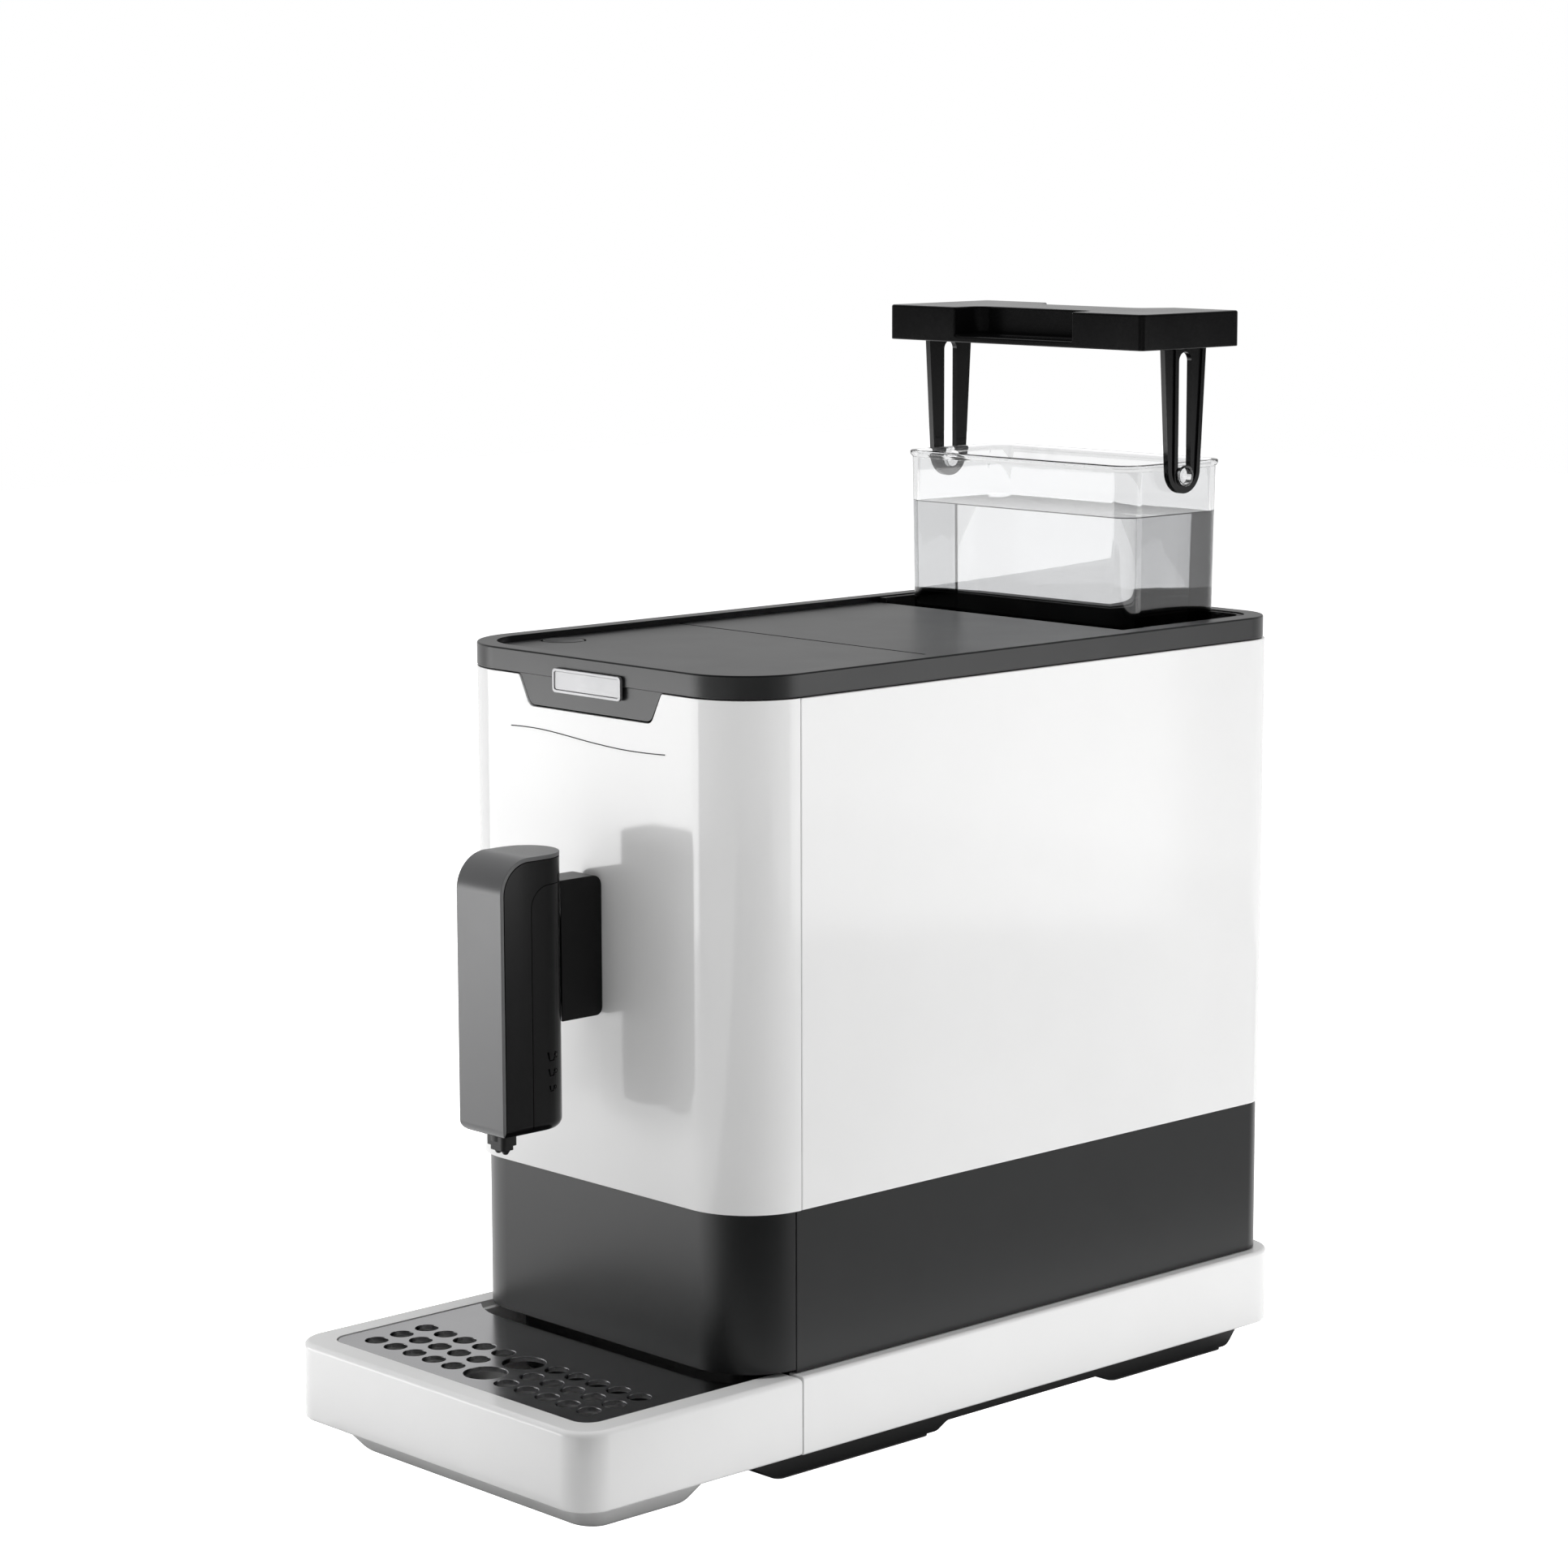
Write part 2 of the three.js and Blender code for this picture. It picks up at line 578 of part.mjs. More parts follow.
function tank() {
  const group = new THREE.Group();
  group.position.z = TANK_LIFT;
  machine.add(group);
  const rim = TANK_SEATED_RIM;
  const floor = rim - TANK_HEIGHT;
  const shrinkX = 0.965;
  const shrinkY = 0.93;
  const half = TANK_HALF;
  const outline = (o) => rounded(-half + o, half - o, TANK_FRONT + o, TANK_BACK - o, 9 - o);

  const peg = (sx) => {
    const reach = ARM_INNER + ARM_THICK + 0.6;
    const x0 = sx > 0 ? half - 1.6 : -reach;
    const head = sx > 0 ? reach - 0.2 : -reach - 1.2;
    return join(
      bar('x', SLOT_R - 0.4, reach - half + 1.6, [x0, TANK_MID, rim - PEG_DROP], 16),
      bar('x', 4.4, 1.4, [head, TANK_MID, rim - PEG_DROP], 16),
    );
  };
  const shell = cut(
    join(
      tapered(outline(0), floor, rim, 0, TANK_MID, shrinkX, shrinkY),
      slab(outline(-1), rim - 1.6, rim),
      peg(1),
      peg(-1),
    ),
    tapered(outline(TANK_WALL), floor + 2.6, rim + 1, 0, TANK_MID, shrinkX, shrinkY),
    bar('z', 5.2, 20, [0, TANK_MID, floor - 10], 16),
  );
  add('water_tank', shell, clear(), group);

  // Outlet valve: a sprung poppet in the floor, pushed up by the socket when the tank is seated.
  const valve = join(
    bar('z', 7.4, 2, [0, TANK_MID, floor + 3], 16),
    bar('z', 3.4, 6, [0, TANK_MID, floor - 0.4], 12),
  );
  add('tank_valve', valve, rubber(), group);

  // Lid, with recesses in front and behind for the fingers and the thumb, and its two slotted arms.
  const lidGroup = new THREE.Group();
  lidGroup.position.z = LID_RAISE;
  group.add(lidGroup);
  const y0 = TANK_FRONT - 0.9;
  const y1 = TANK_BACK - 0.6;
  const z0 = rim + 0.4;
  const lidPlan = rounded(-LID_HALF, LID_HALF, y0, y1, 2.5);
  const recessFront = rounded(-34, 34, y0 - 20, y0 + 15, [0, 0, 5, 5]);
  const recessBack = polygon([[-28, y1 - 13], [28, y1 - 13], [38, y1 + 1], [-38, y1 + 1]]);
  const lid = cut(
    slab(lidPlan, z0, z0 + LID_THICK, 3),
    slab(recessFront, z0 + 2.6, z0 + 40, 3),
    slab(recessBack, z0 + 2.6, z0 + 40),
  );
  add('tank_lid', lid, glossBlack(), lidGroup);

  const slotLow = rim - PEG_DROP - LID_RAISE;
  for (const [side, sx] of [['left', -1], ['right', 1]]) {
    const endR = 9.8;
    const endZ = slotLow + 2.4;
    const arm = new THREE.Shape();
    arm.moveTo(TANK_MID - 12.8, z0 - 0.3);
    arm.lineTo(TANK_MID - endR, endZ);
    arm.absarc(TANK_MID, endZ, endR, Math.PI, 2 * Math.PI, false);
    arm.lineTo(TANK_MID + 12.8, z0 - 0.3);
    const slotTop = slotLow + LID_RAISE + 0.3 + SLOT_R;
    const slot = rounded(TANK_MID - SLOT_R, TANK_MID + SLOT_R, slotLow - SLOT_R, slotTop, SLOT_R);
    const x0 = sx > 0 ? ARM_INNER : -ARM_INNER - ARM_THICK;
    add(
      `lid_arm_${side}`,
      cut(sideways(arm, x0, x0 + ARM_THICK, 8), sideways(slot, x0 - 1, x0 + ARM_THICK + 1, 4)),
      black(),
      lidGroup,
    );
  }
}

// ---------- spout ----------

function spout() {
  const neckBack = BODY_FRONT - 0.3;
  const slotFace = SPOUT_BACK_CENTRE + SPOUT_HALF;
  const profile = rounded(slotFace - 3.6, neckBack, BRACKET_BOTTOM, BRACKET_TOP, [0, 3, 3, 0]);
  const bracket = cut(
    join(
      cut(
        sideways(profile, -BRACKET_HALF, BRACKET_HALF, 3),
        bar('z', SPOUT_HALF + 0.5, 120, [0, SPOUT_BACK_CENTRE, 150], 40),
      ),
      box(-BRACKET_HALF + 1, BRACKET_HALF - 1, slotFace - 12, slotFace + 2, 186, 220),
      box(-9.4, 9.4, slotFace - 12, slotFace - 8.6, 186, 220),
    ),
    bar('y', 3.4, 60, [0, slotFace - 20, 215], 12),
  );
  add('spout_bracket', bracket, black());

  // The plan of the spout: a flat front, straight sides and a round back.
  const plan = (o, front) => {
    const shape = new THREE.Shape();
    shape.moveTo(-SPOUT_HALF + o, front);
    shape.lineTo(SPOUT_HALF - o, front);
    shape.lineTo(SPOUT_HALF - o, SPOUT_BACK_CENTRE);
    shape.absarc(0, SPOUT_BACK_CENTRE, SPOUT_HALF - o, 0, Math.PI, false);
    return shape;
  };
  const full = slab(plan(0, SPOUT_FRONT), SPOUT_BOTTOM, SPOUT_TOP, 9);
  const cheek = (front, topZ, r) => {
    const side = new THREE.Shape();
    side.moveTo(front, SPOUT_BOTTOM - 5);
    side.lineTo(-100, SPOUT_BOTTOM - 5);
    side.lineTo(-100, topZ);
    side.lineTo(front + r, topZ);
    side.absarc(front + r, topZ - r, r, Math.PI / 2, Math.PI, false);
    return sideways(side, -40, 40, 8);
  };
  // Three shells, one behind the other: each begins where the cheek of the one in front ends.
  const outerCheek = cheek(SPOUT_FRONT, SPOUT_TOP, 14);
  const sideStart = SPOUT_FRONT + 1.6;
  const rearStart = -155.6;
  add(
    'spout_front_shell',
    cut(full.intersect(outerCheek), cheek(sideStart, SPOUT_TOP - 1.6, 12.4)),
    look(0x77787a, 0.42),
  );
  const hollow = slab(plan(SPOUT_WALL, SPOUT_FRONT + 6), SPOUT_BOTTOM + 3, SPOUT_TOP - 6, 9);
  const slot = box(-BRACKET_HALF - 0.4, BRACKET_HALF + 0.4, slotFace - 5.2, slotFace + 5, 149, 232.5);
  const nozzleHole = bar('z', 5.2, 20, [0, -160.6, SPOUT_BOTTOM - 10], 16);
  add(
    'spout_side_shell',
    cut(
      full.intersect(cheek(sideStart + 0.3, SPOUT_TOP - 1.9, 12.1)),
      cheek(rearStart, 236.5, 9),
      hollow,
      nozzleHole,
    ),
    black(),
  );
  const rear = cut(
    full.intersect(cheek(rearStart + 0.3, 236.2, 8.7)),
    slab(plan(SPOUT_WALL, SPOUT_FRONT + 6), SPOUT_BOTTOM + 3, 233.8, 9),
    slot,
  );
  add('spout_rear_shell', rear, black());
  add(
    'spout_nozzle',
    join(
      bar('z', 4.8, 6, [0, -160.6, 134.4], 16),
      bar('z', 5.4, 4.6, [0, -160.6, 134.6], 20),
      bar('z', 4.4, 2.2, [0, -160.6, 132.6], 16),
      turned([[0, 130.6], [1.5, 131.8], [1.5, 133], [0, 133]], -2.2, -160.6, 10),
      turned([[0, 130.6], [1.5, 131.8], [1.5, 133], [0, 133]], 2.2, -160.6, 10),
    ),
    black(),
  );
}

// ---------- drip tray and grounds ----------

function tray() {
  const half = WIDTH / 2;
  const front = -DEPTH / 2;
  const tub = rounded(-half, half, front, TRAY_BACK, [TRAY_R, TRAY_R, 0, 0]);
  const ledge = rounded(-half + TRAY_RIM, half - TRAY_RIM, front + TRAY_RIM, TRAY_BACK + 2, [8, 8, 0, 0]);
  const cavity = rounded(-half + TRAY_RIM + 3, half - TRAY_RIM - 3, front + TRAY_RIM + 3, 16, [6, 6, 3, 3]);
  const bowl = rounded(-82, 82, -190, -116, 10);
  const extension = rounded(-78, 78, -100, 19, [0, 0, 4, 4]);
  const shell = cut(
    join(
      slab(tub, SKIRT_BOTTOM + 0.2, SKIRT_TOP),
      tapered(bowl, 0.8, SKIRT_BOTTOM + 1, 0, -150, 0.87, 0.72),
      slab(extension, SKIRT_BOTTOM + 0.2, 41.5, 3),
    ),
    slab(ledge, GRATE_TOP - GRATE_THICK - 0.3, 60),
    slab(cavity, SKIRT_BOTTOM + 2.4, 60),
    tapered(rounded(-79.5, 79.5, -187.5, -118.5, 8), 2.8, SKIRT_BOTTOM + 3, 0, -150, 0.87, 0.72),
  );
  add('drip_tray', shell, white());

  // Grate: the plate stops short of the dark front and follows its round corners.
  const frontHalf = BODY_HALF - INSET;
  const frontY = BODY_FRONT + INSET;
  const grateGap = 4.6;
  let plate = cut(
    slab(
      rounded(-half + TRAY_RIM + 0.4, half - TRAY_RIM - 0.4, front + TRAY_RIM + 0.4, -102, [7.6, 7.6, 0, 0]),
      GRATE_TOP - GRATE_THICK,
      GRATE_TOP,
    ),
    slab(
      rounded(-frontHalf - grateGap, frontHalf + grateGap, frontY - grateGap, -60, [
        BODY_FRONT_R - INSET + grateGap, BODY_FRONT_R - INSET + grateGap, 0, 0,
      ]),
      30,
      60,
    ),
  );
  for (const sx of [-1, 1]) {
    for (let column = 0; column < 5; column++) {
      for (const row of [-1, 0, 1]) {
        const x = sx * (16.2 + column * HOLE_PITCH_X);
        plate = plate.subtract(bar('z', 4.7, 20, [x, HOLE_ROW_Y + row * HOLE_PITCH_Y, 36], 8));
      }
    }
  }
  for (const y of [-170.3, -150.9]) plate = plate.subtract(bar('z', 8.6, 20, [0, y, 36], 14));
  add('drip_grate', plate, steel());

  // Dark front of the grounds container, and the open container behind it.
  const faceShape = (o) =>
    rounded(-frontHalf + o, frontHalf - o, frontY + o, -60, [
      BODY_FRONT_R - INSET - o, BODY_FRONT_R - INSET - o, 0, 0,
    ]);
  add(
    'grounds_front',
    cut(
      slab(faceShape(0), 47.2, 110.4),
      slab(faceShape(WALL), 30, 108),
      box(-100, 100, SEAM_Y - 0.7, 0, 0, 200),
      box(-80, 80, -98.4, -60, 100, 120),
    ),
    charcoal(),
  );
  const bin = cut(
    box(-66, 66, -98, 12, 18.4, 104),
    box(-64, 64, -96, 10, 20.4, 120),
  );
  add('grounds_container', bin, black());
}

base();
housing();
top();
grinder();
brewing();
water();
tankWell();
tank();
spout();
tray();

export default machine;
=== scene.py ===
"""The visual model of a slim bean-to-cup coffee machine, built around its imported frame.

Lengths are millimetres, and become metres where a mesh is made. The studio alone is in metres.
+Z is up and the front faces -Y.
"""

import json
import math

import bmesh
import bpy
from mathutils import Matrix, Vector


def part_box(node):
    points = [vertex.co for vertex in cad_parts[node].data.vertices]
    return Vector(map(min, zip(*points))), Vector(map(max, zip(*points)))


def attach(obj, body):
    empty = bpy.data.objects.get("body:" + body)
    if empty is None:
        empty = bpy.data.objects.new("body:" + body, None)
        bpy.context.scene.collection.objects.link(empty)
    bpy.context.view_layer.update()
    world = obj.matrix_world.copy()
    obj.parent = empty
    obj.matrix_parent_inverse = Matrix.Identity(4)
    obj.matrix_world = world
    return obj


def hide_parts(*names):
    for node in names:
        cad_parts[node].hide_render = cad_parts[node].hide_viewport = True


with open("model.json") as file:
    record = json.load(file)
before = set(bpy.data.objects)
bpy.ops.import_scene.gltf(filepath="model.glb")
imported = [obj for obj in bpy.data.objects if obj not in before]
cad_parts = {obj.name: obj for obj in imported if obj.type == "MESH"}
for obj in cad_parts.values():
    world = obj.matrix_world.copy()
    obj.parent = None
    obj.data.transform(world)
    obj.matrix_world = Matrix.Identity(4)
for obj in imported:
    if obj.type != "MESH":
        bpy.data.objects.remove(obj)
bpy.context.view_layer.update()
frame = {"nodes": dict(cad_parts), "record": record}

MM = 0.001
OVER = 5  # how far a cutting shape reaches past what it cuts
FAR = 500  # past every side of the machine


# ---------- camera, lights and floor ----------

CAMERA_PLACE = (1.25229, -1.17857, 0.52555)
CAMERA_TURN = (47.008, 8.844, -0.161)  # heading, tip and roll in degrees
TOWARDS_CAMERA = (0.731, -0.682, 0)
CARD_HEADING = 47  # degrees, which sets a card square to the view
AMBIENT = 0.3  # the world's light on matt surfaces
BEYOND, BEHIND = 0.62, 0.02  # what reflections show beyond the machine and behind the camera
FADE = (-0.8, 0.1)  # cosines to the camera between which the one becomes the other
FLOOR_LIT, FLOOR_SEEN = 0.65, 0.9  # the floor's glow on the machine and to the eye


def turn(yaw, pitch, roll=0.0):
    """The rotation of something that looks down -Z, turned to a heading, then tipped down, then rolled."""
    return (
        Matrix.Rotation(math.radians(yaw), 4, "Z")
        @ Matrix.Rotation(math.radians(90 - pitch), 4, "X")
        @ Matrix.Rotation(math.radians(roll), 4, "Z")
    )


def add_camera():
    data = bpy.data.cameras.new("camera")
    data.lens = 98.14
    data.sensor_width = 36
    data.clip_start = 0.01
    camera = bpy.data.objects.new("camera", data)
    camera.matrix_world = Matrix.Translation(CAMERA_PLACE) @ turn(*CAMERA_TURN)
    bpy.context.scene.collection.objects.link(camera)
    bpy.context.scene.camera = camera


def math_node(tree, operation, a, b):
    """The output of a math node on two numbers or sockets."""
    node = tree.nodes.new("ShaderNodeMath")
    node.operation = operation
    for socket, value in zip(node.inputs, (a, b)):
        if isinstance(value, float):
            socket.default_value = value
        else:
            tree.links.new(value, socket)
    return node.outputs[0]


def add_world():
    """White to the eye. Reflections show grey beyond the machine, and almost black on the camera's side."""
    scene = bpy.context.scene
    scene.view_settings.view_transform = "Standard"
    world = bpy.data.worlds.new("studio")
    scene.world = world
    world.use_nodes = True
    tree = world.node_tree
    nodes, links = tree.nodes, tree.links

    path = nodes.new("ShaderNodeLightPath").outputs
    place = nodes.new("ShaderNodeTexCoord")
    towards = nodes.new("ShaderNodeVectorMath")
    towards.operation = "DOT_PRODUCT"
    towards.inputs[1].default_value = TOWARDS_CAMERA
    links.new(place.outputs["Generated"], towards.inputs[0])
    dim = nodes.new("ShaderNodeMapRange")
    dim.interpolation_type = "SMOOTHSTEP"
    dim.inputs["From Min"].default_value, dim.inputs["From Max"].default_value = FADE
    dim.inputs["To Min"].default_value = BEYOND
    dim.inputs["To Max"].default_value = BEHIND
    links.new(towards.outputs["Value"], dim.inputs["Value"])
    glossy = math_node(tree, "MULTIPLY", path["Is Glossy Ray"], dim.outputs["Result"])
    matt = math_node(tree, "MULTIPLY", math_node(tree, "SUBTRACT", 1.0, path["Is Glossy Ray"]), AMBIENT)
    seen = math_node(tree, "MAXIMUM", path["Is Camera Ray"], path["Is Transmission Ray"])
    level = math_node(tree, "MAXIMUM", math_node(tree, "ADD", glossy, matt), seen)
    background = nodes["Background"]
    background.inputs["Color"].default_value = (1, 1, 1, 1)
    links.new(level, background.inputs["Strength"])


def add_softbox(name, place, aim, size, radiance, reflected=True):
    """A rectangular light of a width and height, which the camera doesn't see."""
    width, height = size
    data = bpy.data.lights.new(name, "AREA")
    data.shape = "RECTANGLE"
    data.size = width
    data.size_y = height
    data.energy = radiance * math.pi * width * height
    light = bpy.data.objects.new(name, data)
    direction = Vector(aim) - Vector(place)
    light.matrix_world = Matrix.Translation(place) @ direction.to_track_quat("-Z", "Y").to_matrix().to_4x4()
    light.visible_camera = False
    light.visible_transmission = False
    light.visible_glossy = reflected
    bpy.context.scene.collection.objects.link(light)


def add_lights():
    add_softbox("left_box", (-0.72, -0.78, 0.13), (0, -0.1, 0.13), (0.75, 0.24), 4.0)
    add_softbox("right_box", (0.93, 0.62, 0.18), (0.08, 0, 0.18), (0.62, 0.34), 1.8)
    add_softbox("left_fill", (-0.9, -1.1, 0.9), (0, -0.1, 0.2), (0.8, 0.6), 0.7, reflected=False)
    add_softbox("right_fill", (1.2, 0.9, 0.9), (0, 0.05, 0.2), (0.8, 0.6), 2.2, reflected=False)
    add_softbox("top_fill", (0, 0, 1.7), (0, 0, 0.2), (1.4, 1.4), 2.7, reflected=False)


def add_floor():
    """A white floor, which glows more to the eye than on the machine."""
    bpy.ops.mesh.primitive_plane_add(size=8)
    floor = bpy.context.object
    floor.name = "floor"
    floor.data.materials.append(surface("floor", (0.92, 0.92, 0.92), 0.6, mottle=0.004))
    tree = floor.data.materials[0].node_tree
    path = tree.nodes.new("ShaderNodeLightPath").outputs
    glow = tree.nodes.new("ShaderNodeMapRange")
    glow.inputs["To Min"].default_value = FLOOR_LIT
    glow.inputs["To Max"].default_value = FLOOR_SEEN
    seen = math_node(tree, "MAXIMUM", path["Is Camera Ray"], path["Is Transmission Ray"])
    tree.links.new(seen, glow.inputs["Value"])
    tree.links.new(glow.outputs["Result"], tree.nodes["Principled BSDF"].inputs["Emission Strength"])


def add_card(name, place, size, material, hidden_from=(), heading=0.0):
    """A flat card just above the floor, which the camera never sees.

    hidden_from names more kinds of ray that miss it.
    """
    bpy.ops.mesh.primitive_plane_add(size=1, location=place)
    card = bpy.context.object
    card.name = name
    card.scale = (*size, 1)
    card.rotation_euler.z = math.radians(heading)
    card.data.materials.append(material)
    for kind in ("camera", "transmission", "volume_scatter", "shadow", *hidden_from):
        setattr(card, f"visible_{kind}", False)


def add_cards():
    black = surface("card", (0.01, 0.01, 0.01), 0.9, mottle=0.004)
    grey = surface("side_card", (0.12, 0.12, 0.12), 0.9, mottle=0.004, glow=0.33)
    shade = surface("shade", (0.55, 0.55, 0.55), 0.9, mottle=0.004)
    # Between the camera and the machine, in reflections alone.
    add_card("black_card", (0.86, -0.47, 0.004), (1.3, 1.3), black, ["diffuse"], CARD_HEADING)
    # In front of the tray's near corner, which it keeps the floor's light off.
    add_card("dim_card", (0.27, -0.37, 0.002), (0.3, 0.42), black, ["glossy"], CARD_HEADING)
    # To the right of the machine, whose right-hand side reflects it.
    add_card("side_card", (0.75, 0.42, 0.003), (1.1, 1.3), grey, ["diffuse"])
    # Under the machine, whose underside it keeps the floor's light off.
    add_card("shade_card", (0, -0.02, 0.0005), (0.21, 0.42), shade)


# ---------- materials ----------

NOISE_RANGE = (0.3, 0.7)  # where most of a noise lies
PRODUCT_RANGE = (0.1, 0.45)  # where most of the product of two noises lies


def surface(name, base, rough, metal=0.0, mottle=0.04, patch=35.0, uneven=0.05, grain=0.0, grain_size=0.4,
            stretch=(1, 1, 1), glow=0.0, **constants):
    """A procedural finish: a slightly uneven colour and roughness in patches, and a fine grain in relief.

    patch is a noise scale per metre, and grain_size and grain are millimetres. stretch draws the grain out along an
    axis. constants are values of the shader's other sockets.
    """
    material = bpy.data.materials.new(name)
    material.use_nodes = True
    nodes, links = material.node_tree.nodes, material.node_tree.links
    shader = nodes["Principled BSDF"]
    shader.inputs["Metallic"].default_value = metal
    shader.inputs["Emission Color"].default_value = (1, 1, 1, 1)
    shader.inputs["Emission Strength"].default_value = glow
    for socket, value in constants.items():
        shader.inputs[socket.replace("_", " ")].default_value = value
    place = nodes.new("ShaderNodeTexCoord")

    broad = nodes.new("ShaderNodeTexNoise")
    broad.inputs["Scale"].default_value = patch
    broad.inputs["Detail"].default_value = 5
    links.new(place.outputs["Object"], broad.inputs["Vector"])

    tone = nodes.new("ShaderNodeValToRGB")
    for stop, factor, at in zip(tone.color_ramp.elements, (1 - mottle, 1 + mottle), NOISE_RANGE):
        stop.color = [min(1, c * factor) for c in base] + [1]
        stop.position = at
    links.new(broad.outputs["Fac"], tone.inputs["Fac"])
    links.new(tone.outputs["Color"], shader.inputs["Base Color"])

    spread = nodes.new("ShaderNodeMapping")
    spread.inputs["Scale"].default_value = stretch
    links.new(place.outputs["Object"], spread.inputs["Vector"])
    fine = nodes.new("ShaderNodeTexNoise")
    fine.inputs["Scale"].default_value = 1000 / grain_size
    fine.inputs["Detail"].default_value = 3
    links.new(spread.outputs["Vector"], fine.inputs["Vector"])

    both = nodes.new("ShaderNodeMath")
    both.operation = "MULTIPLY"
    links.new(broad.outputs["Fac"], both.inputs[0])
    links.new(fine.outputs["Fac"], both.inputs[1])
    gloss = nodes.new("ShaderNodeMapRange")
    gloss.inputs["From Min"].default_value, gloss.inputs["From Max"].default_value = PRODUCT_RANGE
    gloss.inputs["To Min"].default_value = max(0.0, rough - uneven)
    gloss.inputs["To Max"].default_value = rough + uneven
    links.new(both.outputs[0], gloss.inputs["Value"])
    links.new(gloss.outputs["Result"], shader.inputs["Roughness"])

    if grain:
        relief = nodes.new("ShaderNodeBump")
        relief.inputs["Strength"].default_value = 1.0
        relief.inputs["Distance"].default_value = grain * MM
        links.new(fine.outputs["Fac"], relief.inputs["Height"])
        links.new(relief.outputs["Normal"], shader.inputs["Normal"])
    return material


def finishes():
    """One finish for each material slot of the record, and one for the water."""
    return {
        "white_gloss": surface("white_gloss", (0.83, 0.83, 0.828), 0.10, mottle=0.012, patch=18, uneven=0.02,
                               grain=0.004, grain_size=1.6),
        "charcoal": surface("charcoal", (0.009, 0.0095, 0.010), 0.33, mottle=0.02, uneven=0.02,
                            grain=0.012, grain_size=0.35),
        "black_matte": surface("black_matte", (0.008, 0.008, 0.0085), 0.45, uneven=0.06, grain=0.015,
                               Specular_IOR_Level=0.4),
        "black_gloss": surface("black_gloss", (0.003, 0.003, 0.0032), 0.19, uneven=0.03, grain=0.003,
                               grain_size=1.2, Specular_IOR_Level=0.22),
        "spout_grey": surface("spout_grey", (0.105, 0.106, 0.108), 0.33, uneven=0.04, grain=0.008,
                              grain_size=0.35),
        "steel": surface("steel", (0.50, 0.50, 0.51), 0.20, metal=1.0, grain=0.006, grain_size=0.5,
                         stretch=(0.03, 1, 1)),
        "plate_metal": surface("plate_metal", (0.30, 0.30, 0.305), 0.34, metal=0.6, mottle=0.02, uneven=0.06,
                               grain=0.004, grain_size=0.3, stretch=(0.05, 1, 1)),
        "clear_plastic": surface("clear_plastic", (0.80, 0.803, 0.807), 0.015, mottle=0.004, uneven=0.012,
                                 Transmission_Weight=1.0, IOR=1.46),
        "rubber": surface("rubber", (0.014, 0.014, 0.014), 0.72, uneven=0.08, grain=0.03, grain_size=0.5),
        "silicone": surface("silicone", (0.62, 0.62, 0.58), 0.42, grain=0.01, Transmission_Weight=0.2,
                            IOR=1.41),
        "nylon": surface("nylon", (0.60, 0.57, 0.50), 0.45, uneven=0.06, grain=0.01),
        "brass": surface("brass", (0.62, 0.46, 0.20), 0.30, metal=1.0, mottle=0.08, uneven=0.1, grain=0.01,
                         stretch=(1, 1, 0.1)),
        "aluminium": surface("aluminium", (0.55, 0.56, 0.57), 0.42, metal=1.0, mottle=0.06, uneven=0.08,
                             grain=0.03, grain_size=0.8),
        "board_green": surface("board_green", (0.02, 0.12, 0.05), 0.35, mottle=0.15, patch=300, uneven=0.1,
                               grain=0.02, grain_size=1.0),
        "water": surface("water", (0.93, 0.932, 0.935), 0.0, mottle=0.003, uneven=0.004,
                         Transmission_Weight=1.0, IOR=1.33),
    }


# ---------- shapes ----------


def outline(x0, x1, y0, y1, radii, steps=16):
    """A rounded rectangle, counter-clockwise. radii: one, or front left, front right, back right, back left."""
    fl, fr, br, bl = radii if isinstance(radii, tuple) else (radii,) * 4
    corners = (
        (x1 - fr, y0 + fr, fr, -90),
        (x1 - br, y1 - br, br, 0),
        (x0 + bl, y1 - bl, bl, 90),
        (x0 + fl, y0 + fl, fl, 180),
    )
    points = []
    for cx, cy, r, start in corners:
        for i in range(steps + 1 if r > 0 else 1):
            a = math.radians(start + 90 * i / steps)
            points.append((cx + r * math.cos(a), cy + r * math.sin(a)))
    return points


def soften(points, radii, steps=6):
    """A closed outline with each corner rounded by its own radius."""
    result = []
    for i, (corner, r) in enumerate(zip(points, radii)):
        here = Vector(corner)
        before = (Vector(points[i - 1]) - here).normalized()
        after = (Vector(points[(i + 1) % len(points)]) - here).normalized()
        half = before.angle(after) / 2
        if r <= 0 or abs(half - math.pi / 2) < 1e-3:
            result.append(tuple(here))
            continue
        reach = r / math.tan(half)
        centre = here + (before + after).normalized() * (r / math.sin(half))
        first, last = here + before * reach - centre, here + after * reach - centre
        sweep = first.angle_signed(last)
        for k in range(steps + 1):
            a = -sweep * k / steps
            c, s = math.cos(a), math.sin(a)
            result.append((centre.x + first.x * c - first.y * s, centre.y + first.x * s + first.y * c))
    return result


def placed(axis, u, v, w):
    """A point of a section drawn across an axis: (x, y), (x, z) or (y, z), and w along the axis."""
    return {"z": (u, v, w), "y": (u, w, v), "x": (w, u, v)}[axis]


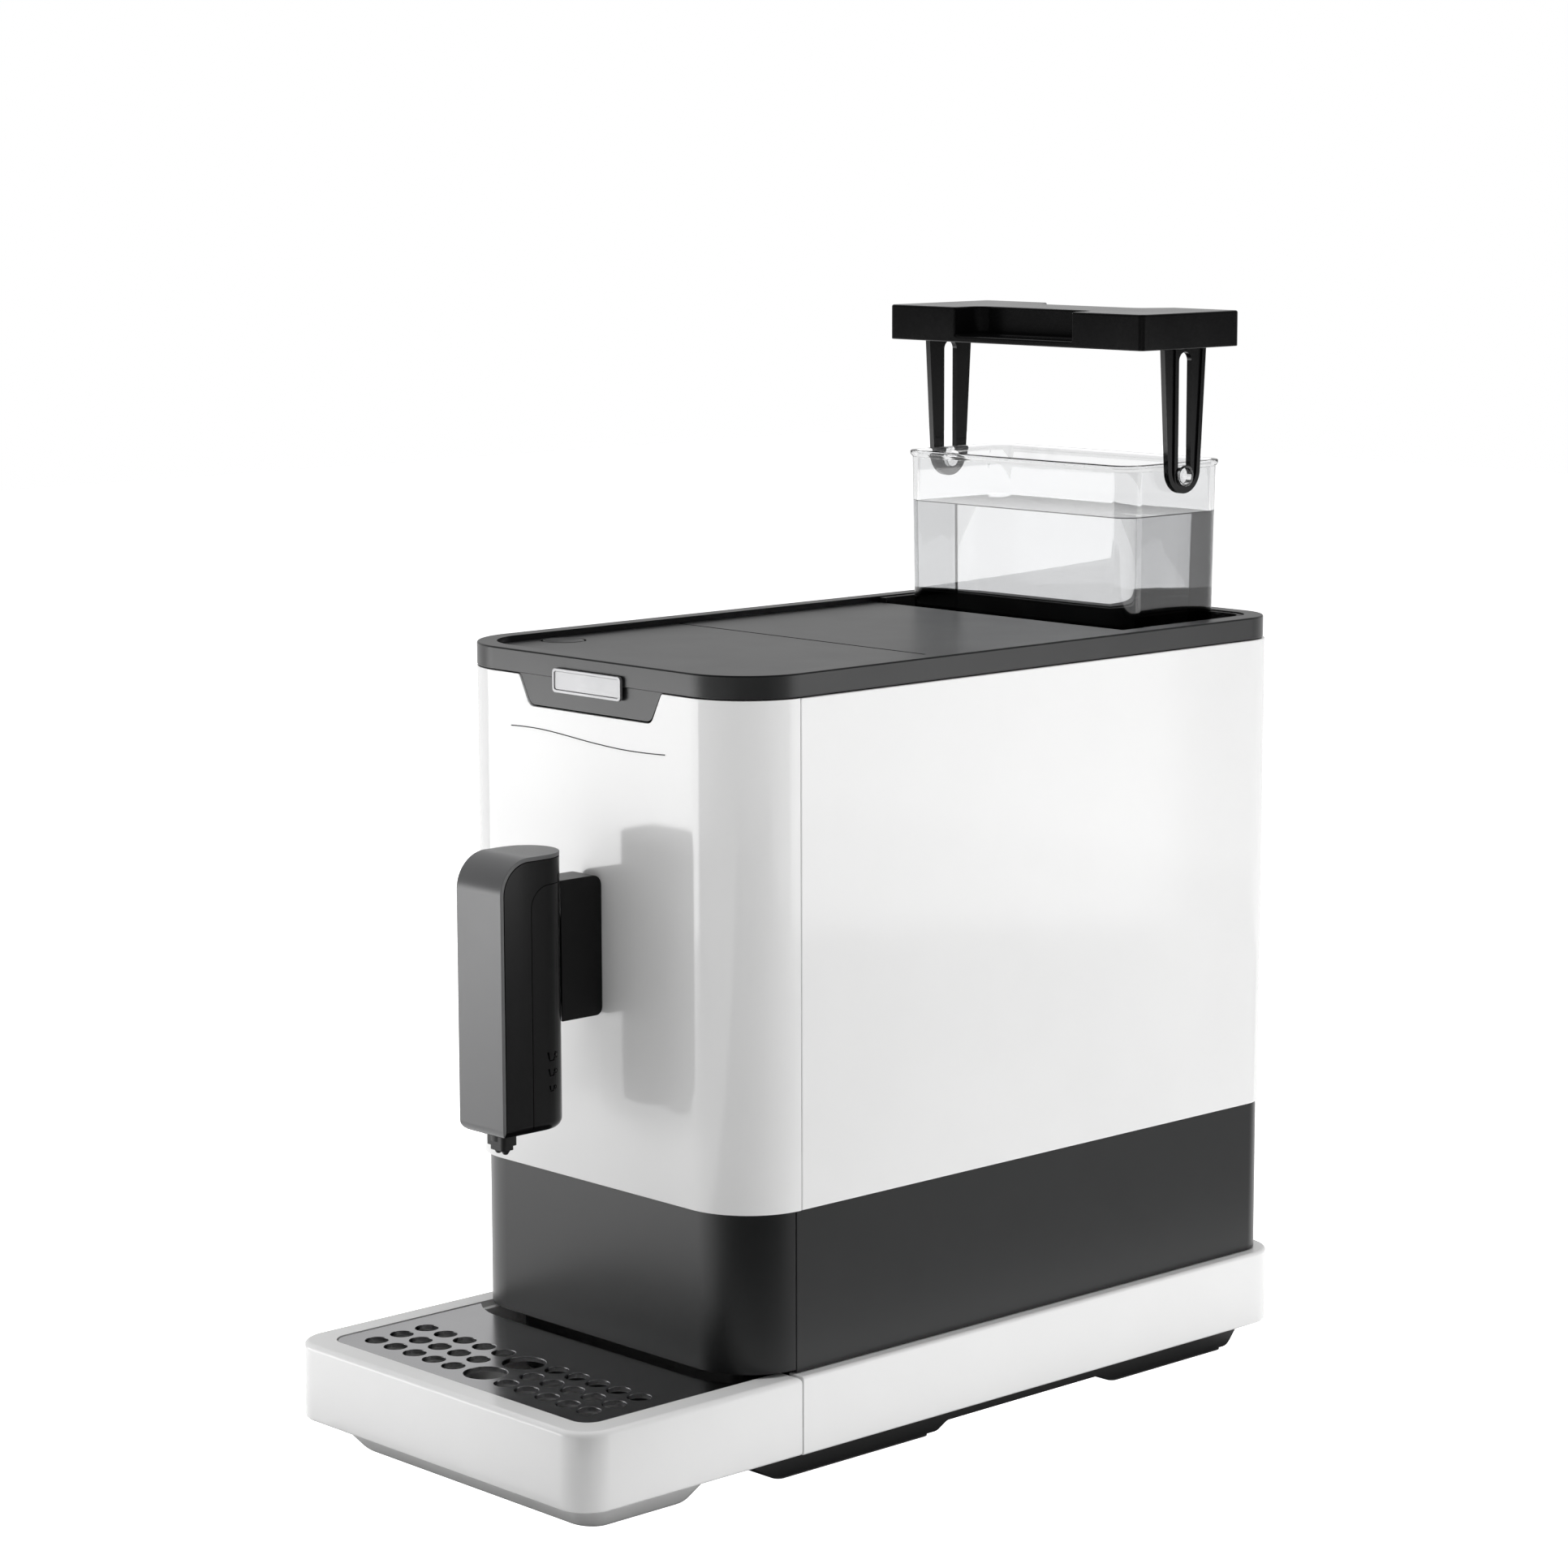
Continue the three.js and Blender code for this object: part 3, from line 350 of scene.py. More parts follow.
def from_rings(name, rings, closed=False):
    """A closed solid through rings of equal point counts. closed joins the last ring to the first."""
    mesh = bmesh.new()
    loops = [[mesh.verts.new([c * MM for c in point]) for point in ring] for ring in rings]
    n = len(loops[0])
    pairs = list(zip(loops, loops[1:])) + ([(loops[-1], loops[0])] if closed else [])
    for low, high in pairs:
        for i in range(n):
            j = (i + 1) % n
            mesh.faces.new((low[i], low[j], high[j], high[i]))
    if not closed:
        mesh.faces.new(loops[0])
        mesh.faces.new(loops[-1])
    bmesh.ops.recalc_face_normals(mesh, faces=mesh.faces)
    data = bpy.data.meshes.new(name)
    mesh.to_mesh(data)
    mesh.free()
    piece = bpy.data.objects.new(name, data)
    bpy.context.scene.collection.objects.link(piece)
    return piece


def prism(name, loop, low, high, axis="z"):
    """A section drawn across an axis, made solid between two places on it."""
    return from_rings(name, [[placed(axis, u, v, w) for u, v in loop] for w in (low, high)])


def block(name, x0, x1, y0, y1, z0, z1):
    return prism(name, [(x0, y0), (x1, y0), (x1, y1), (x0, y1)], z0, z1)


def pebble(name, edge, low, high, foot=0.0, brow=0.0, steps=6):
    """A solid between two heights, its outline given by edge(inset).

    foot and brow are the radii of its lower and upper edges.
    """
    rings = []
    if foot > 0:
        for i in range(steps + 1):
            a = math.pi / 2 * i / steps
            rings.append((foot * (1 - math.sin(a)), low + foot * (1 - math.cos(a))))
    else:
        rings.append((0, low))
    if brow > 0:
        for i in range(steps + 1):
            a = math.pi / 2 * i / steps
            rings.append((brow * (1 - math.cos(a)), high - brow * (1 - math.sin(a))))
    else:
        rings.append((0, high))
    return from_rings(name, [[(x, y, z) for x, y in edge(inset)] for inset, z in rings])


def rounded_edge(x0, x1, y0, y1, radii, steps=16):
    """The outline of a rounded rectangle as a function of its inset."""
    each = radii if isinstance(radii, tuple) else (radii,) * 4

    def edge(inset):
        inner = tuple(max(r - inset, 0.05) if r > 0 else 0 for r in each)
        return outline(x0 + inset, x1 - inset, y0 + inset, y1 - inset, inner, steps)

    return edge


def lathe(name, profile, centre, axis="z", steps=48):
    """A turned solid from a (radius, along) profile, whose ends lie on the axis, or which closes on itself."""
    on_axis = profile[0][0] == 0
    cx, cy, cz = centre
    rings = []
    for r, w in profile:
        ring = []
        for i in range(steps):
            a = 2 * math.pi * i / steps
            x, y, z = placed(axis, max(r, 1e-4) * math.cos(a), max(r, 1e-4) * math.sin(a), w)
            ring.append((cx + x, cy + y, cz + z))
        rings.append(ring)
    return from_rings(name, rings, closed=not on_axis)


def rod(name, r, low, high, centre, axis="z", steps=40):
    """A round bar along an axis through the centre."""
    return lathe(name, [(0, low), (r, low), (r, high), (0, high)], centre, axis, steps)


def settle(piece):
    """Applies the piece's modifiers."""
    graph = bpy.context.evaluated_depsgraph_get()
    done = bpy.data.meshes.new_from_object(piece.evaluated_get(graph))
    old, piece.data = piece.data, done
    piece.modifiers.clear()
    bpy.data.meshes.remove(old)
    return piece


def combine(piece, *others, operation="DIFFERENCE"):
    """Cuts the others out of the piece, or joins them to it."""
    for other in others:
        step = piece.modifiers.new("combine", "BOOLEAN")
        step.operation = operation
        step.solver = "EXACT"
        step.object = other
        settle(piece)
        bpy.data.objects.remove(other)
    return piece


def together(pieces):
    """Puts separate meshes into one object."""
    first, *rest = pieces
    mesh = bmesh.new()
    for piece in pieces:
        mesh.from_mesh(piece.data)
    mesh.to_mesh(first.data)
    mesh.free()
    for piece in rest:
        bpy.data.objects.remove(piece)
    return first


def finish(piece, name, body, slot, nodes=(), bevel=0.4, steps=3, angle=32):
    """Rounds the sharp edges, smooths the shading, gives the finish and ties the piece to its body."""
    piece.name = name
    if bevel:
        rounder = piece.modifiers.new("round", "BEVEL")
        rounder.width = bevel * MM
        rounder.segments = steps
        rounder.limit_method = "ANGLE"
        rounder.angle_limit = math.radians(angle)
        rounder.miter_outer = "MITER_ARC"
        settle(piece)
    piece.data.polygons.foreach_set("use_smooth", [True] * len(piece.data.polygons))
    piece.data.set_sharp_from_angle(angle=math.radians(50))
    even = piece.modifiers.new("even", "WEIGHTED_NORMAL")
    even.keep_sharp = True
    settle(piece)
    piece.data.materials.clear()
    piece.data.materials.append(looks[slot])
    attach(piece, body)
    if nodes:
        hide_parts(*nodes)
    return piece


def span(node):
    """A CAD node's box in millimetres: x0, x1, y0, y1, z0, z1."""
    low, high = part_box(node)
    return tuple(c / MM for pair in zip(low, high) for c in pair)


def middle(node):
    """The middle of a CAD node's box."""
    x0, x1, y0, y1, z0, z1 = span(node)
    return (x0 + x1) / 2, (y0 + y1) / 2, (z0 + z1) / 2


def across(name, y0, y1):
    """A cutting block over the whole width and height, between two depths."""
    return block(name, -FAR, FAR, y0, y1, -FAR, FAR)


# ---------- base ----------

WALL = 2.4  # of the white body and the dark housing
CORNER = 30  # front corners of the white body
BACK_CORNER = 18
FRAME_CORNER = 20  # rear corners of the top frame
LOWER_CORNER = 11.2  # rear corners of the dark lower housing
OPEN_FRONT = -400  # where a shell with an open front starts before it is cut
SKIRT_CORNER = 17
SKIRT_WALL = 3
SKIRT_RIM = 8.5  # width of the skirt's upper face
PAN_HALF = 74.5
PAN_FLOOR = 4.5  # underside of the pan between its feet
PAN_BACK = 186
PLATE_LOW = 11  # underside of the pan's plate, which closes the skirt
PLATE_FRONT = -84


def make_base():
    x0, x1, y0, y1, z0, z1 = span("base_skirt")

    def ring(inset):
        r = max(SKIRT_CORNER - inset, 1)
        return outline(x0 + inset, x1 - inset, OPEN_FRONT, y1 - inset, (0, 0, r, r), 20)

    skirt = pebble("skirt", ring, z0, z1, foot=1.2, brow=1.6)
    combine(
        skirt,
        prism("room", ring(SKIRT_WALL), z0 - OVER, z1 - SKIRT_WALL),
        prism("mouth", ring(SKIRT_RIM), z0 - OVER, z1 + OVER),
        across("front", -FAR, y0),
    )
    finish(skirt, "skirt", "machine", "white_gloss", ["base_skirt"], bevel=0.35)

    x0, x1, y0, y1, z0, z1 = span("base_pan")
    side = [
        (y0, z1), (y0, PLATE_LOW + 0.5), (-87, z0), (3, z0), (9, PAN_FLOOR),
        (99, PAN_FLOOR), (105, z0), (180, z0), (PAN_BACK, 8), (PAN_BACK, z1),
    ]
    pan = prism("pan", soften(side, [0, 2, 5, 5, 5, 5, 5, 5, 3, 0]), -PAN_HALF, PAN_HALF, "x")
    plate = prism("plate", outline(x0, x1, PLATE_FRONT, y1, (0.2, 0.2, 10, 10)), PLATE_LOW, z1)
    combine(pan, plate, operation="UNION")
    finish(pan, "base_pan_shell", "machine", "black_matte", ["base_pan"], bevel=1.2)


# ---------- housing ----------

TAB_TOP_HALF, TAB_FOOT_HALF = 41.8, 35.6
TAB_WING = 8  # how far the tab's upper corners run on under the frame
TAB_GAP = 0.7
ACCENT_R = 0.22
ACCENT = (  # the line's path across the front, in (x, z)
    (-47.5, 288.6), (-36, 289.2), (-22, 288.7), (-6, 287.2), (12, 286.0), (28, 285.6), (44.5, 286.4),
)
VENT_ROWS = 5
VENT_PITCH = 9
VENT_LOW = 17  # above the panel's lower edge
VENT_X, VENT_HALF, VENT_TALL = 27, 20, 3.4
GLAND_R = 8  # of its neck, which passes through the housing


def shell_edge(inset=0.0):
    """The outline of the white body."""
    x0, x1, y0 = span("front_cover")[:3]
    y1 = span("left_side_panel")[3]
    front, back = CORNER - inset, BACK_CORNER - inset
    return outline(x0 + inset, x1 - inset, y0 + inset, y1 - inset, (front, front, back, back), 24)


def tab_edge(gap, z_top, z_low, lift=4):
    """The front tab of the top frame in (x, z), grown by the gap around it."""
    points = [
        (TAB_FOOT_HALF + gap, z_low - gap),
        (TAB_TOP_HALF + gap, z_top),
        (TAB_TOP_HALF + TAB_WING + gap, z_top),
        (TAB_TOP_HALF + TAB_WING + gap, z_top + lift),
    ]
    loop = points + [(-x, z) for x, z in reversed(points)]
    return soften(loop, [4, 2.5, 0, 0, 0, 0, 2.5, 4])


def settle_curve(piece, name, body, slot):
    """Turns a curve into a mesh piece."""
    graph = bpy.context.evaluated_depsgraph_get()
    data = bpy.data.meshes.new_from_object(piece.evaluated_get(graph))
    bpy.data.objects.remove(piece)
    made = bpy.data.objects.new(name, data)
    bpy.context.scene.collection.objects.link(made)
    return finish(made, name, body, slot, bevel=0)


def make_front():
    _, _, y0, y1, z0, z1 = span("front_cover")
    tab_low = span("top_frame")[4]
    shell = prism("outer", shell_edge(), z0, z1)
    combine(
        shell,
        prism("inner", shell_edge(WALL), z0 - OVER, z1 + OVER),
        across("behind", y1, FAR),
        prism("notch", tab_edge(TAB_GAP, z1 + TAB_GAP / 2, tab_low), y0 - 10, y0 + 20, "y"),
    )
    finish(shell, "front_shell", "machine", "white_gloss", ["front_cover"], bevel=0.5)

    curve = bpy.data.curves.new("accent", "CURVE")
    curve.dimensions = "3D"
    curve.bevel_depth = ACCENT_R * MM
    curve.bevel_resolution = 3
    curve.resolution_u = 16
    spline = curve.splines.new("NURBS")
    spline.points.add(len(ACCENT) - 1)
    for point, (x, z) in zip(spline.points, ACCENT):
        point.co = (x * MM, (y0 - 0.02) * MM, z * MM, 1)
    spline.use_endpoint_u = True
    spline.order_u = 4
    accent = bpy.data.objects.new("accent_line", curve)
    bpy.context.scene.collection.objects.link(accent)
    settle_curve(accent, "accent_line", "machine", "charcoal")


def make_sides():
    for side in ("left", "right"):
        x0, x1, y0, _, z0, z1 = span(f"{side}_side_panel")
        panel = prism("panel", shell_edge(), z0, z1)
        other = (x1, FAR) if side == "left" else (-FAR, x0)
        combine(
            panel,
            prism("inner", shell_edge(WALL), z0 - OVER, z1 + OVER),
            across("ahead", -FAR, y0),
            block("other", *other, -FAR, FAR, -FAR, FAR),
        )
        finish(panel, f"{side}_side_shell", "machine", "white_gloss", [f"{side}_side_panel"], bevel=0.5)


def make_lower():
    """The dark lower housing, open at the front."""
    x0, x1, y0, y1, z0, z1 = span("lower_housing")

    def edge(inset):
        r = LOWER_CORNER - inset
        return outline(x0 + inset, x1 - inset, OPEN_FRONT, y1 - inset, (0, 0, r, r), 20)

    housing = prism("lower", edge(0), z0, z1)
    gland_x, _, gland_z = middle("cord_gland")
    combine(
        housing,
        prism("inner", edge(WALL), z0 - OVER, z1 + OVER),
        across("ahead", -FAR, y0),
        rod("hole", GLAND_R + 0.3, y1 - 10, y1 + 10, (gland_x, 0, gland_z), "y"),
    )
    finish(housing, "lower_shell", "machine", "charcoal", ["lower_housing"], bevel=0.4)


def make_rear():
    """The rear panel with rounded vents, its screws, and the cord gland."""
    x0, x1, y0, y1, z0, z1 = span("rear_panel")
    rear = prism("rear", outline(x0, x1, z0, z1, 1.0, 4), y0, y1, "y")
    vents = []
    for row in range(VENT_ROWS):
        for x in (-VENT_X, VENT_X):
            z = z0 + VENT_LOW + row * VENT_PITCH
            edge = outline(x - VENT_HALF, x + VENT_HALF, z, z + VENT_TALL, 1.6, 6)
            vents.append(prism("vent", edge, y0 - OVER, y1 + OVER, "y"))
    combine(rear, together(vents))
    finish(rear, "rear_panel_shell", "machine", "charcoal", ["rear_panel"], bevel=0.35)

    for i in range(1, 5):
        node = f"rear_screw_{i}"
        x, _, z = middle(node)
        front, back = span(node)[2:4]
        profile = [
            (0, front), (1.8, front), (1.8, back - 1.6), (3.6, back - 1.6),
            (3.6, back - 0.9), (3.0, back - 0.35), (1.8, back - 0.05), (0, back),
        ]
        head = lathe("screw", profile, (x, 0, z), "y", 32)
        for half_x, half_z in ((2.2, 0.45), (0.45, 2.2)):
            combine(head, block("cross", x - half_x, x + half_x, back - 1.1, back + 2, z - half_z, z + half_z))
        finish(head, f"{node}_head", "machine", "steel", [node], bevel=0.08, steps=2)

    x, _, z = middle("cord_gland")
    front, back = span("cord_gland")[2:4]
    bore, collar = 3.8, 10
    profile = [
        (bore, front), (collar, front), (collar, front + 2), (GLAND_R, front + 2), (GLAND_R, back - 2.2),
        (collar, back - 2.2), (collar, back - 0.6), (9.4, back), (4.6, back), (bore, back - 0.8),
    ]
    gland = lathe("gland", profile, (x, 0, z), "y", 48)
    finish(gland, "gland", "machine", "rubber", ["cord_gland"], bevel=0.25)


# ---------- top ----------

BAND = 8  # width of the top frame's rim
RIM_GAP = 0.4  # between the rim and what lies inside it
SEAM = 0.4  # drawn back from the control panel and the hopper lid, each
BUTTON_HOLE_R = 9.3
PLATE_BORDER = 1.2
HOPPER_WALL = 2
THROAT_R = 17
KNOB_R = 9
KNOB_LOW, KNOB_TOP = 278, 298  # its grip
KNOB_FLUTES = 18
FLUTE_R = 0.9


def make_frame():
    x0, x1, y0, y1, z0, z1 = span("top_frame")
    low = span("front_cover")[5] + 0.4

    def rim(inset):
        front, back = CORNER - inset, FRAME_CORNER - inset
        return outline(x0 + inset, x1 - inset, y0 + inset, y1 - inset, (front, front, back, back), 24)

    ring = pebble("ring", rim, low, z1, foot=0.5, brow=0.7)
    combine(ring, prism("inner", rim(BAND), low - OVER, z1 + OVER))
    tab = prism("tab", tab_edge(0, low + 0.01, z0, lift=3), y0 + 0.5, y0 + WALL, "y")
    combine(ring, tab, operation="UNION")
    finish(ring, "top_ring", "machine", "charcoal", ["top_frame"], bevel=0.4)

    x0, x1, y0, y1, z0, z1 = span("name_plate")
    plate = prism("plate", outline(x0, x1, z0, z1, 1.7, 8), y0 + 0.8, y1, "y")
    inset = PLATE_BORDER
    field = outline(x0 + inset, x1 - inset, z0 + inset, z1 - inset, 1.0, 6)
    combine(plate, prism("field", field, y0 - 2, y0 + 1.2, "y"))
    finish(plate, "blank_plate", "machine", "plate_metal", ["name_plate"], bevel=0.3)


def make_panel():
    """The control panel with its power button."""
    x, y, _ = middle("power_button")
    centre = (x, y, 0)
    x0, x1, y0, y1, z0, z1 = span("control_panel")
    r = CORNER - BAND - RIM_GAP
    panel = prism("panel", outline(x0, x1, y0, y1 - SEAM, (r, r, 0.3, 0.3), 20), z0, z1)
    combine(panel, rod("hole", BUTTON_HOLE_R, z0 - OVER, z1 + OVER, centre, steps=64))
    finish(panel, "control_panel_top", "machine", "charcoal", ["control_panel"], bevel=0.5)

    # A stem, a flange under the panel, and a dished cap. Heights are from the panel's face.
    profile = [
        (0, -8.5), (3, -8.5), (3, -6), (10.2, -6), (10.2, -4), (8.6, -4), (8.6, -0.3), (8.45, -0.05),
        (8.1, 0.08), (7.7, 0.02), (6.6, -0.45), (4.4, -0.8), (2.2, -0.98), (0, -1.04),
    ]
    cap = lathe("cap", [(r, z1 + height) for r, height in profile], centre, steps=64)
    finish(cap, "button_cap", "power_button", "charcoal", ["power_button"], bevel=0)


def make_hopper():
    """The hopper with its lid and the grind setting knob."""
    x0, x1, y0, y1, z0, z1 = span("bean_lid")
    deck = z1 - 3
    lid = prism("lid", outline(x0, x1, y0 + SEAM, y1, 0.4, 4), deck, z1)
    rib_edge = rounded_edge(-72, 72, 10, 113, 6, 8)
    rib = prism("rib", rib_edge(0), z0, deck + 0.5)
    combine(rib, prism("hollow", rib_edge(2), z0 - OVER, deck - 0.01))
    combine(lid, rib, operation="UNION")
    finish(lid, "bean_lid_top", "bean_lid", "charcoal", ["bean_lid"], bevel=0.5)

    x0, x1, y0, y1, z0, z1 = span("bean_hopper")
    knob_x, mid, _ = middle("grind_knob")
    well = (knob_x, mid, 0)

    def funnel(inset, low, high, fx, fy):
        """A funnel between two heights, whose foot is narrower by a factor each way."""
        lip = outline(x0 + inset, x1 - inset, y0 + inset, y1 - inset, 8 - inset / 2, 10)
        return [
            [(x * fx, mid + (y - mid) * fy, low) for x, y in lip],
            [(x, y, high) for x, y in lip],
        ]

    hopper = from_rings("hopper", funnel(0, z0, z1, 0.42, 0.5))
    combine(
        hopper,
        from_rings("inside", funnel(HOPPER_WALL, z0 + 2.2, z1 + 0.8, 0.4, 0.47)),
        rod("throat", THROAT_R, z0 - OVER, z0 + OVER, (0, mid, 0)),
    )
    combine(hopper, rod("well", KNOB_R + 3, KNOB_LOW - 6, KNOB_TOP + 2, well), operation="UNION")
    combine(hopper, rod("bore", KNOB_R + 1, KNOB_LOW - 16, KNOB_TOP + 24, well))
    finish(hopper, "hopper_shell", "machine", "black_matte", ["bean_hopper"], bevel=0.4)

    grip = rod("grip", KNOB_R, KNOB_LOW, KNOB_TOP, well, steps=48)
    flutes = []
    reach = KNOB_R + 0.2
    for i in range(KNOB_FLUTES):
        a = 2 * math.pi * i / KNOB_FLUTES
        place = (knob_x + reach * math.cos(a), mid + reach * math.sin(a), 0)
        flutes.append(rod("flute", FLUTE_R, KNOB_LOW + 2, KNOB_TOP + 2, place, steps=12))
    combine(grip, together(flutes))
    finger = block("finger", knob_x - 1.2, knob_x + 1.2, mid - 8, mid + 8, KNOB_TOP - 1, KNOB_TOP + 5)
    stem = rod("stem", 3, span("grind_knob")[4], KNOB_LOW + 1, well)
    combine(grip, finger, stem, operation="UNION")
    finish(grip, "grind_knob_grip", "grind_knob", "black_matte", ["grind_knob"], bevel=0.3)


# ---------- tank ----------

WELL_HALF = 78.2
WELL_WALL = 2
WELL_OUTLET_R, TANK_OUTLET_R = 9.6, 5.2
TANK_HALF = 65.5
TANK_CORNER = 9
TANK_WALL = 2.2
TANK_FOOT = 3  # radius of the edge around its floor
TANK_SHRINK = (0.965, 0.93)  # its floor against its rim
STEPS_UP = (60, 120)  # heights of the rings between the tank's floor and its rim
PEG_DROP = 5.2  # the pegs' axis below the rim
PEG_R, PEG_HEAD_R = 3.3, 4.4
WATER_DROP = 22  # the water's surface below the rim
RECESS_FLOOR = 2.6  # thickness of the lid under its recesses
RECESS_R = 7
FRONT_RECESS = (34, 15)  # half width and depth
BACK_RECESS = (28, 40, 13)  # half width inside and past the lid's edge, and depth
ARM_END_R = 9.8
ARM_SLOT_HALF = 3.8
ARM_RIM = 3.6  # between the slot's lower end and the arm's
ARM_RECESS = 0.8


def make_well():
    x0, x1, y0, y1, z0, z1 = span("tank_well")
    back = y1 - RIM_GAP
    r = FRAME_CORNER - BAND - RIM_GAP
    well = prism("well", outline(-WELL_HALF, WELL_HALF, y0, back, (3, 3, 10.2, 10.2), 12), z0, z1 - 4)
    flange = prism("flange", outline(x0, x1, y0, y1, (3, 3, r, r), 12), z1 - 5.2, z1)
    # In front, the flange is level with the deck.
    combine(flange, block("level", x0 - OVER, x1 + OVER, y0 - OVER, y0 + 1.5, z1 - 2.2, z1 + OVER))
    combine(well, flange, operation="UNION")
    inner = outline(WELL_WALL - WELL_HALF, WELL_HALF - WELL_WALL, y0 + 1, back - WELL_WALL, (2, 2, 8, 8), 12)
    combine(
        well,
        prism("inner", inner, z0 + 3, z1 + OVER),
        rod("outlet", WELL_OUTLET_R, z0 - OVER, z0 + 10, (0, middle("water_tank")[1], 0)),
    )
    finish(well, "tank_well_shell", "machine", "black_matte", ["tank_well"], bevel=0.35)


def make_tank():
    x0, x1, y0, y1, z0, z1 = span("water_tank")
    mid = (y0 + y1) / 2
    y0, y1 = y0 + 1, y1 - 1
    height = z1 - z0

    def level(inset, z):
        """The tank's outline at a height: it widens towards its rim."""
        t = (z - z0) / height
        fx, fy = (shrink + (1 - shrink) * t for shrink in TANK_SHRINK)
        corner = max(TANK_CORNER - inset, 2)
        loop = outline(-TANK_HALF + inset, TANK_HALF - inset, y0 + inset, y1 - inset, corner, 14)
        return [(x * fx, mid + (y - mid) * fy, z) for x, y in loop]

    def floor_edge(inset, low, r, steps=6):
        """The rings of a rounded edge around a floor, from below."""
        turns = [math.pi / 2 * i / steps for i in range(steps + 1)]
        return [level(inset + r * (1 - math.sin(a)), low + r * (1 - math.cos(a))) for a in turns]

    # Up the outside, over a lip, and down the inside. The lip's points are an inset and a drop below the rim.
    rings = floor_edge(0, z0, TANK_FOOT)
    rings += [level(0, z) for z in (*(z0 + up for up in STEPS_UP), z1 - 3)]
    lip = [(-0.6, 2.2), (-1.0, 1.6), (-1.0, 0.4), (-0.6, 0), (1.5, 0), (2.0, 0.3), (TANK_WALL, 0.9)]
    rings += [level(inset, z1 - drop) for inset, drop in lip]
    rings += [level(TANK_WALL, z0 + up) for up in reversed(STEPS_UP)]
    rings += reversed(floor_edge(TANK_WALL, z0 + 2.6, TANK_FOOT))
    tank = from_rings("tank", rings)
    combine(tank, rod("outlet", TANK_OUTLET_R, z0 - OVER, z0 + 10, (0, mid, 0)))
    for sign, tip in ((-1, x0), (1, x1)):
        root = sign * (TANK_HALF - 1.4)
        profile = [
            (0, root), (PEG_R, root), (PEG_R, tip - sign * 1.4), (PEG_HEAD_R, tip - sign * 1.3),
            (PEG_HEAD_R, tip - sign * 0.6), (3.7, tip - sign * 0.1), (2.4, tip), (0, tip),
        ]
        combine(tank, lathe("peg", profile, (0, mid, z1 - PEG_DROP), "x", 32), operation="UNION")
    finish(tank, "clear_tank", "water_tank", "clear_plastic", ["water_tank"], bevel=0)

    # Water, a little into the walls so that no air shows between them. Its surface turns up into its edge.
    surface_z = z1 - WATER_DROP
    sunk = TANK_WALL - 0.2
    rings = floor_edge(sunk, z0 + 2.45, TANK_FOOT - 0.1)
    rings += [level(sunk, z0 + up) for up in STEPS_UP]
    rings += [level(sunk, surface_z + 0.5), level(2.35, surface_z + 0.1), level(3.0, surface_z)]
    water = from_rings("water", rings)
    water.name = "water"
    water.data.polygons.foreach_set("use_smooth", [True] * len(water.data.polygons))
    water.data.set_sharp_from_angle(angle=math.radians(50))
    water.data.materials.append(looks["water"])
    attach(water, "water_tank")

    low, high = span("tank_valve")[4:]
    profile = [
        (0, low), (3.0, low), (3.4, low + 0.6), (3.4, high - 2.6),
        (7.4, high - 2), (7.4, high - 0.6), (6.6, high), (0, high),
    ]
    x, y, _ = middle("tank_valve")
    valve = lathe("valve", profile, (x, y, 0))
    finish(valve, "tank_valve_poppet", "water_tank", "rubber", ["tank_valve"], bevel=0)


def make_tank_lid():
    """The lid with a recess in front and one behind, and its slotted arms."""
    x0, x1, y0, y1, z0, z1 = span("tank_lid")
    lid = pebble("lid", rounded_edge(x0, x1, y0, y1, 2.5, 8), z0, z1, foot=0.4, brow=0.9)
    floor = z0 + RECESS_FLOOR
    half, deep = FRONT_RECESS
    front = [(-half, y0 - 10), (half, y0 - 10), (half, y0 + deep), (-half, y0 + deep)]
    half, mouth, deep = BACK_RECESS
    back = [(-half, y1 - deep), (half, y1 - deep), (mouth, y1 + 4), (-mouth, y1 + 4)]
    combine(
        lid,
        prism("front", soften(front, [0, 0, RECESS_R, RECESS_R]), floor, z1 + OVER),
        prism("back", soften(back, [RECESS_R, RECESS_R, 0, 0]), floor, z1 + OVER),
    )
    finish(lid, "tank_lid_top", "tank_lid", "black_gloss", ["tank_lid"], bevel=0.8, steps=4)

    for side in ("left", "right"):
        node = f"lid_arm_{side}"
        x0, x1, y0, y1, low, high = span(node)
        mid = (y0 + y1) / 2
        top_half = (y1 - y0) / 2
        slot_low = low + ARM_RIM

        def arm_edge(inset):
            """The arm from the side, in (y, z): it narrows to a round end."""
            loop = [(mid + top_half - inset, high), (mid - top_half + inset, high)]
            r = ARM_END_R - inset
            for i in range(25):
                a = math.pi + math.pi * i / 24
                loop.append((mid + r * math.cos(a), low + ARM_END_R + r * math.sin(a)))
            return loop

        arm = prism("arm", arm_edge(0), x0, x1, "x")
        outside = (x1 - ARM_RECESS, x1 + OVER) if side == "right" else (x0 - OVER, x0 + ARM_RECESS)
        combine(arm, prism("recess", arm_edge(2.2), *outside, "x"))
        collar = outline(mid - 6.0, mid + 6.0, slot_low - 2.2, high, (6, 6, 0, 0), 12)
        combine(arm, prism("collar", collar, x0, x1, "x"), operation="UNION")
        slot = outline(mid - ARM_SLOT_HALF, mid + ARM_SLOT_HALF, slot_low, high - 1.2, ARM_SLOT_HALF, 12)
        combine(arm, prism("slot", slot, x0 - OVER, x1 + OVER, "x"))
        finish(arm, f"tank_arm_{side}", "tank_lid", "black_gloss", [node], bevel=0.3)


# ---------- spout ----------

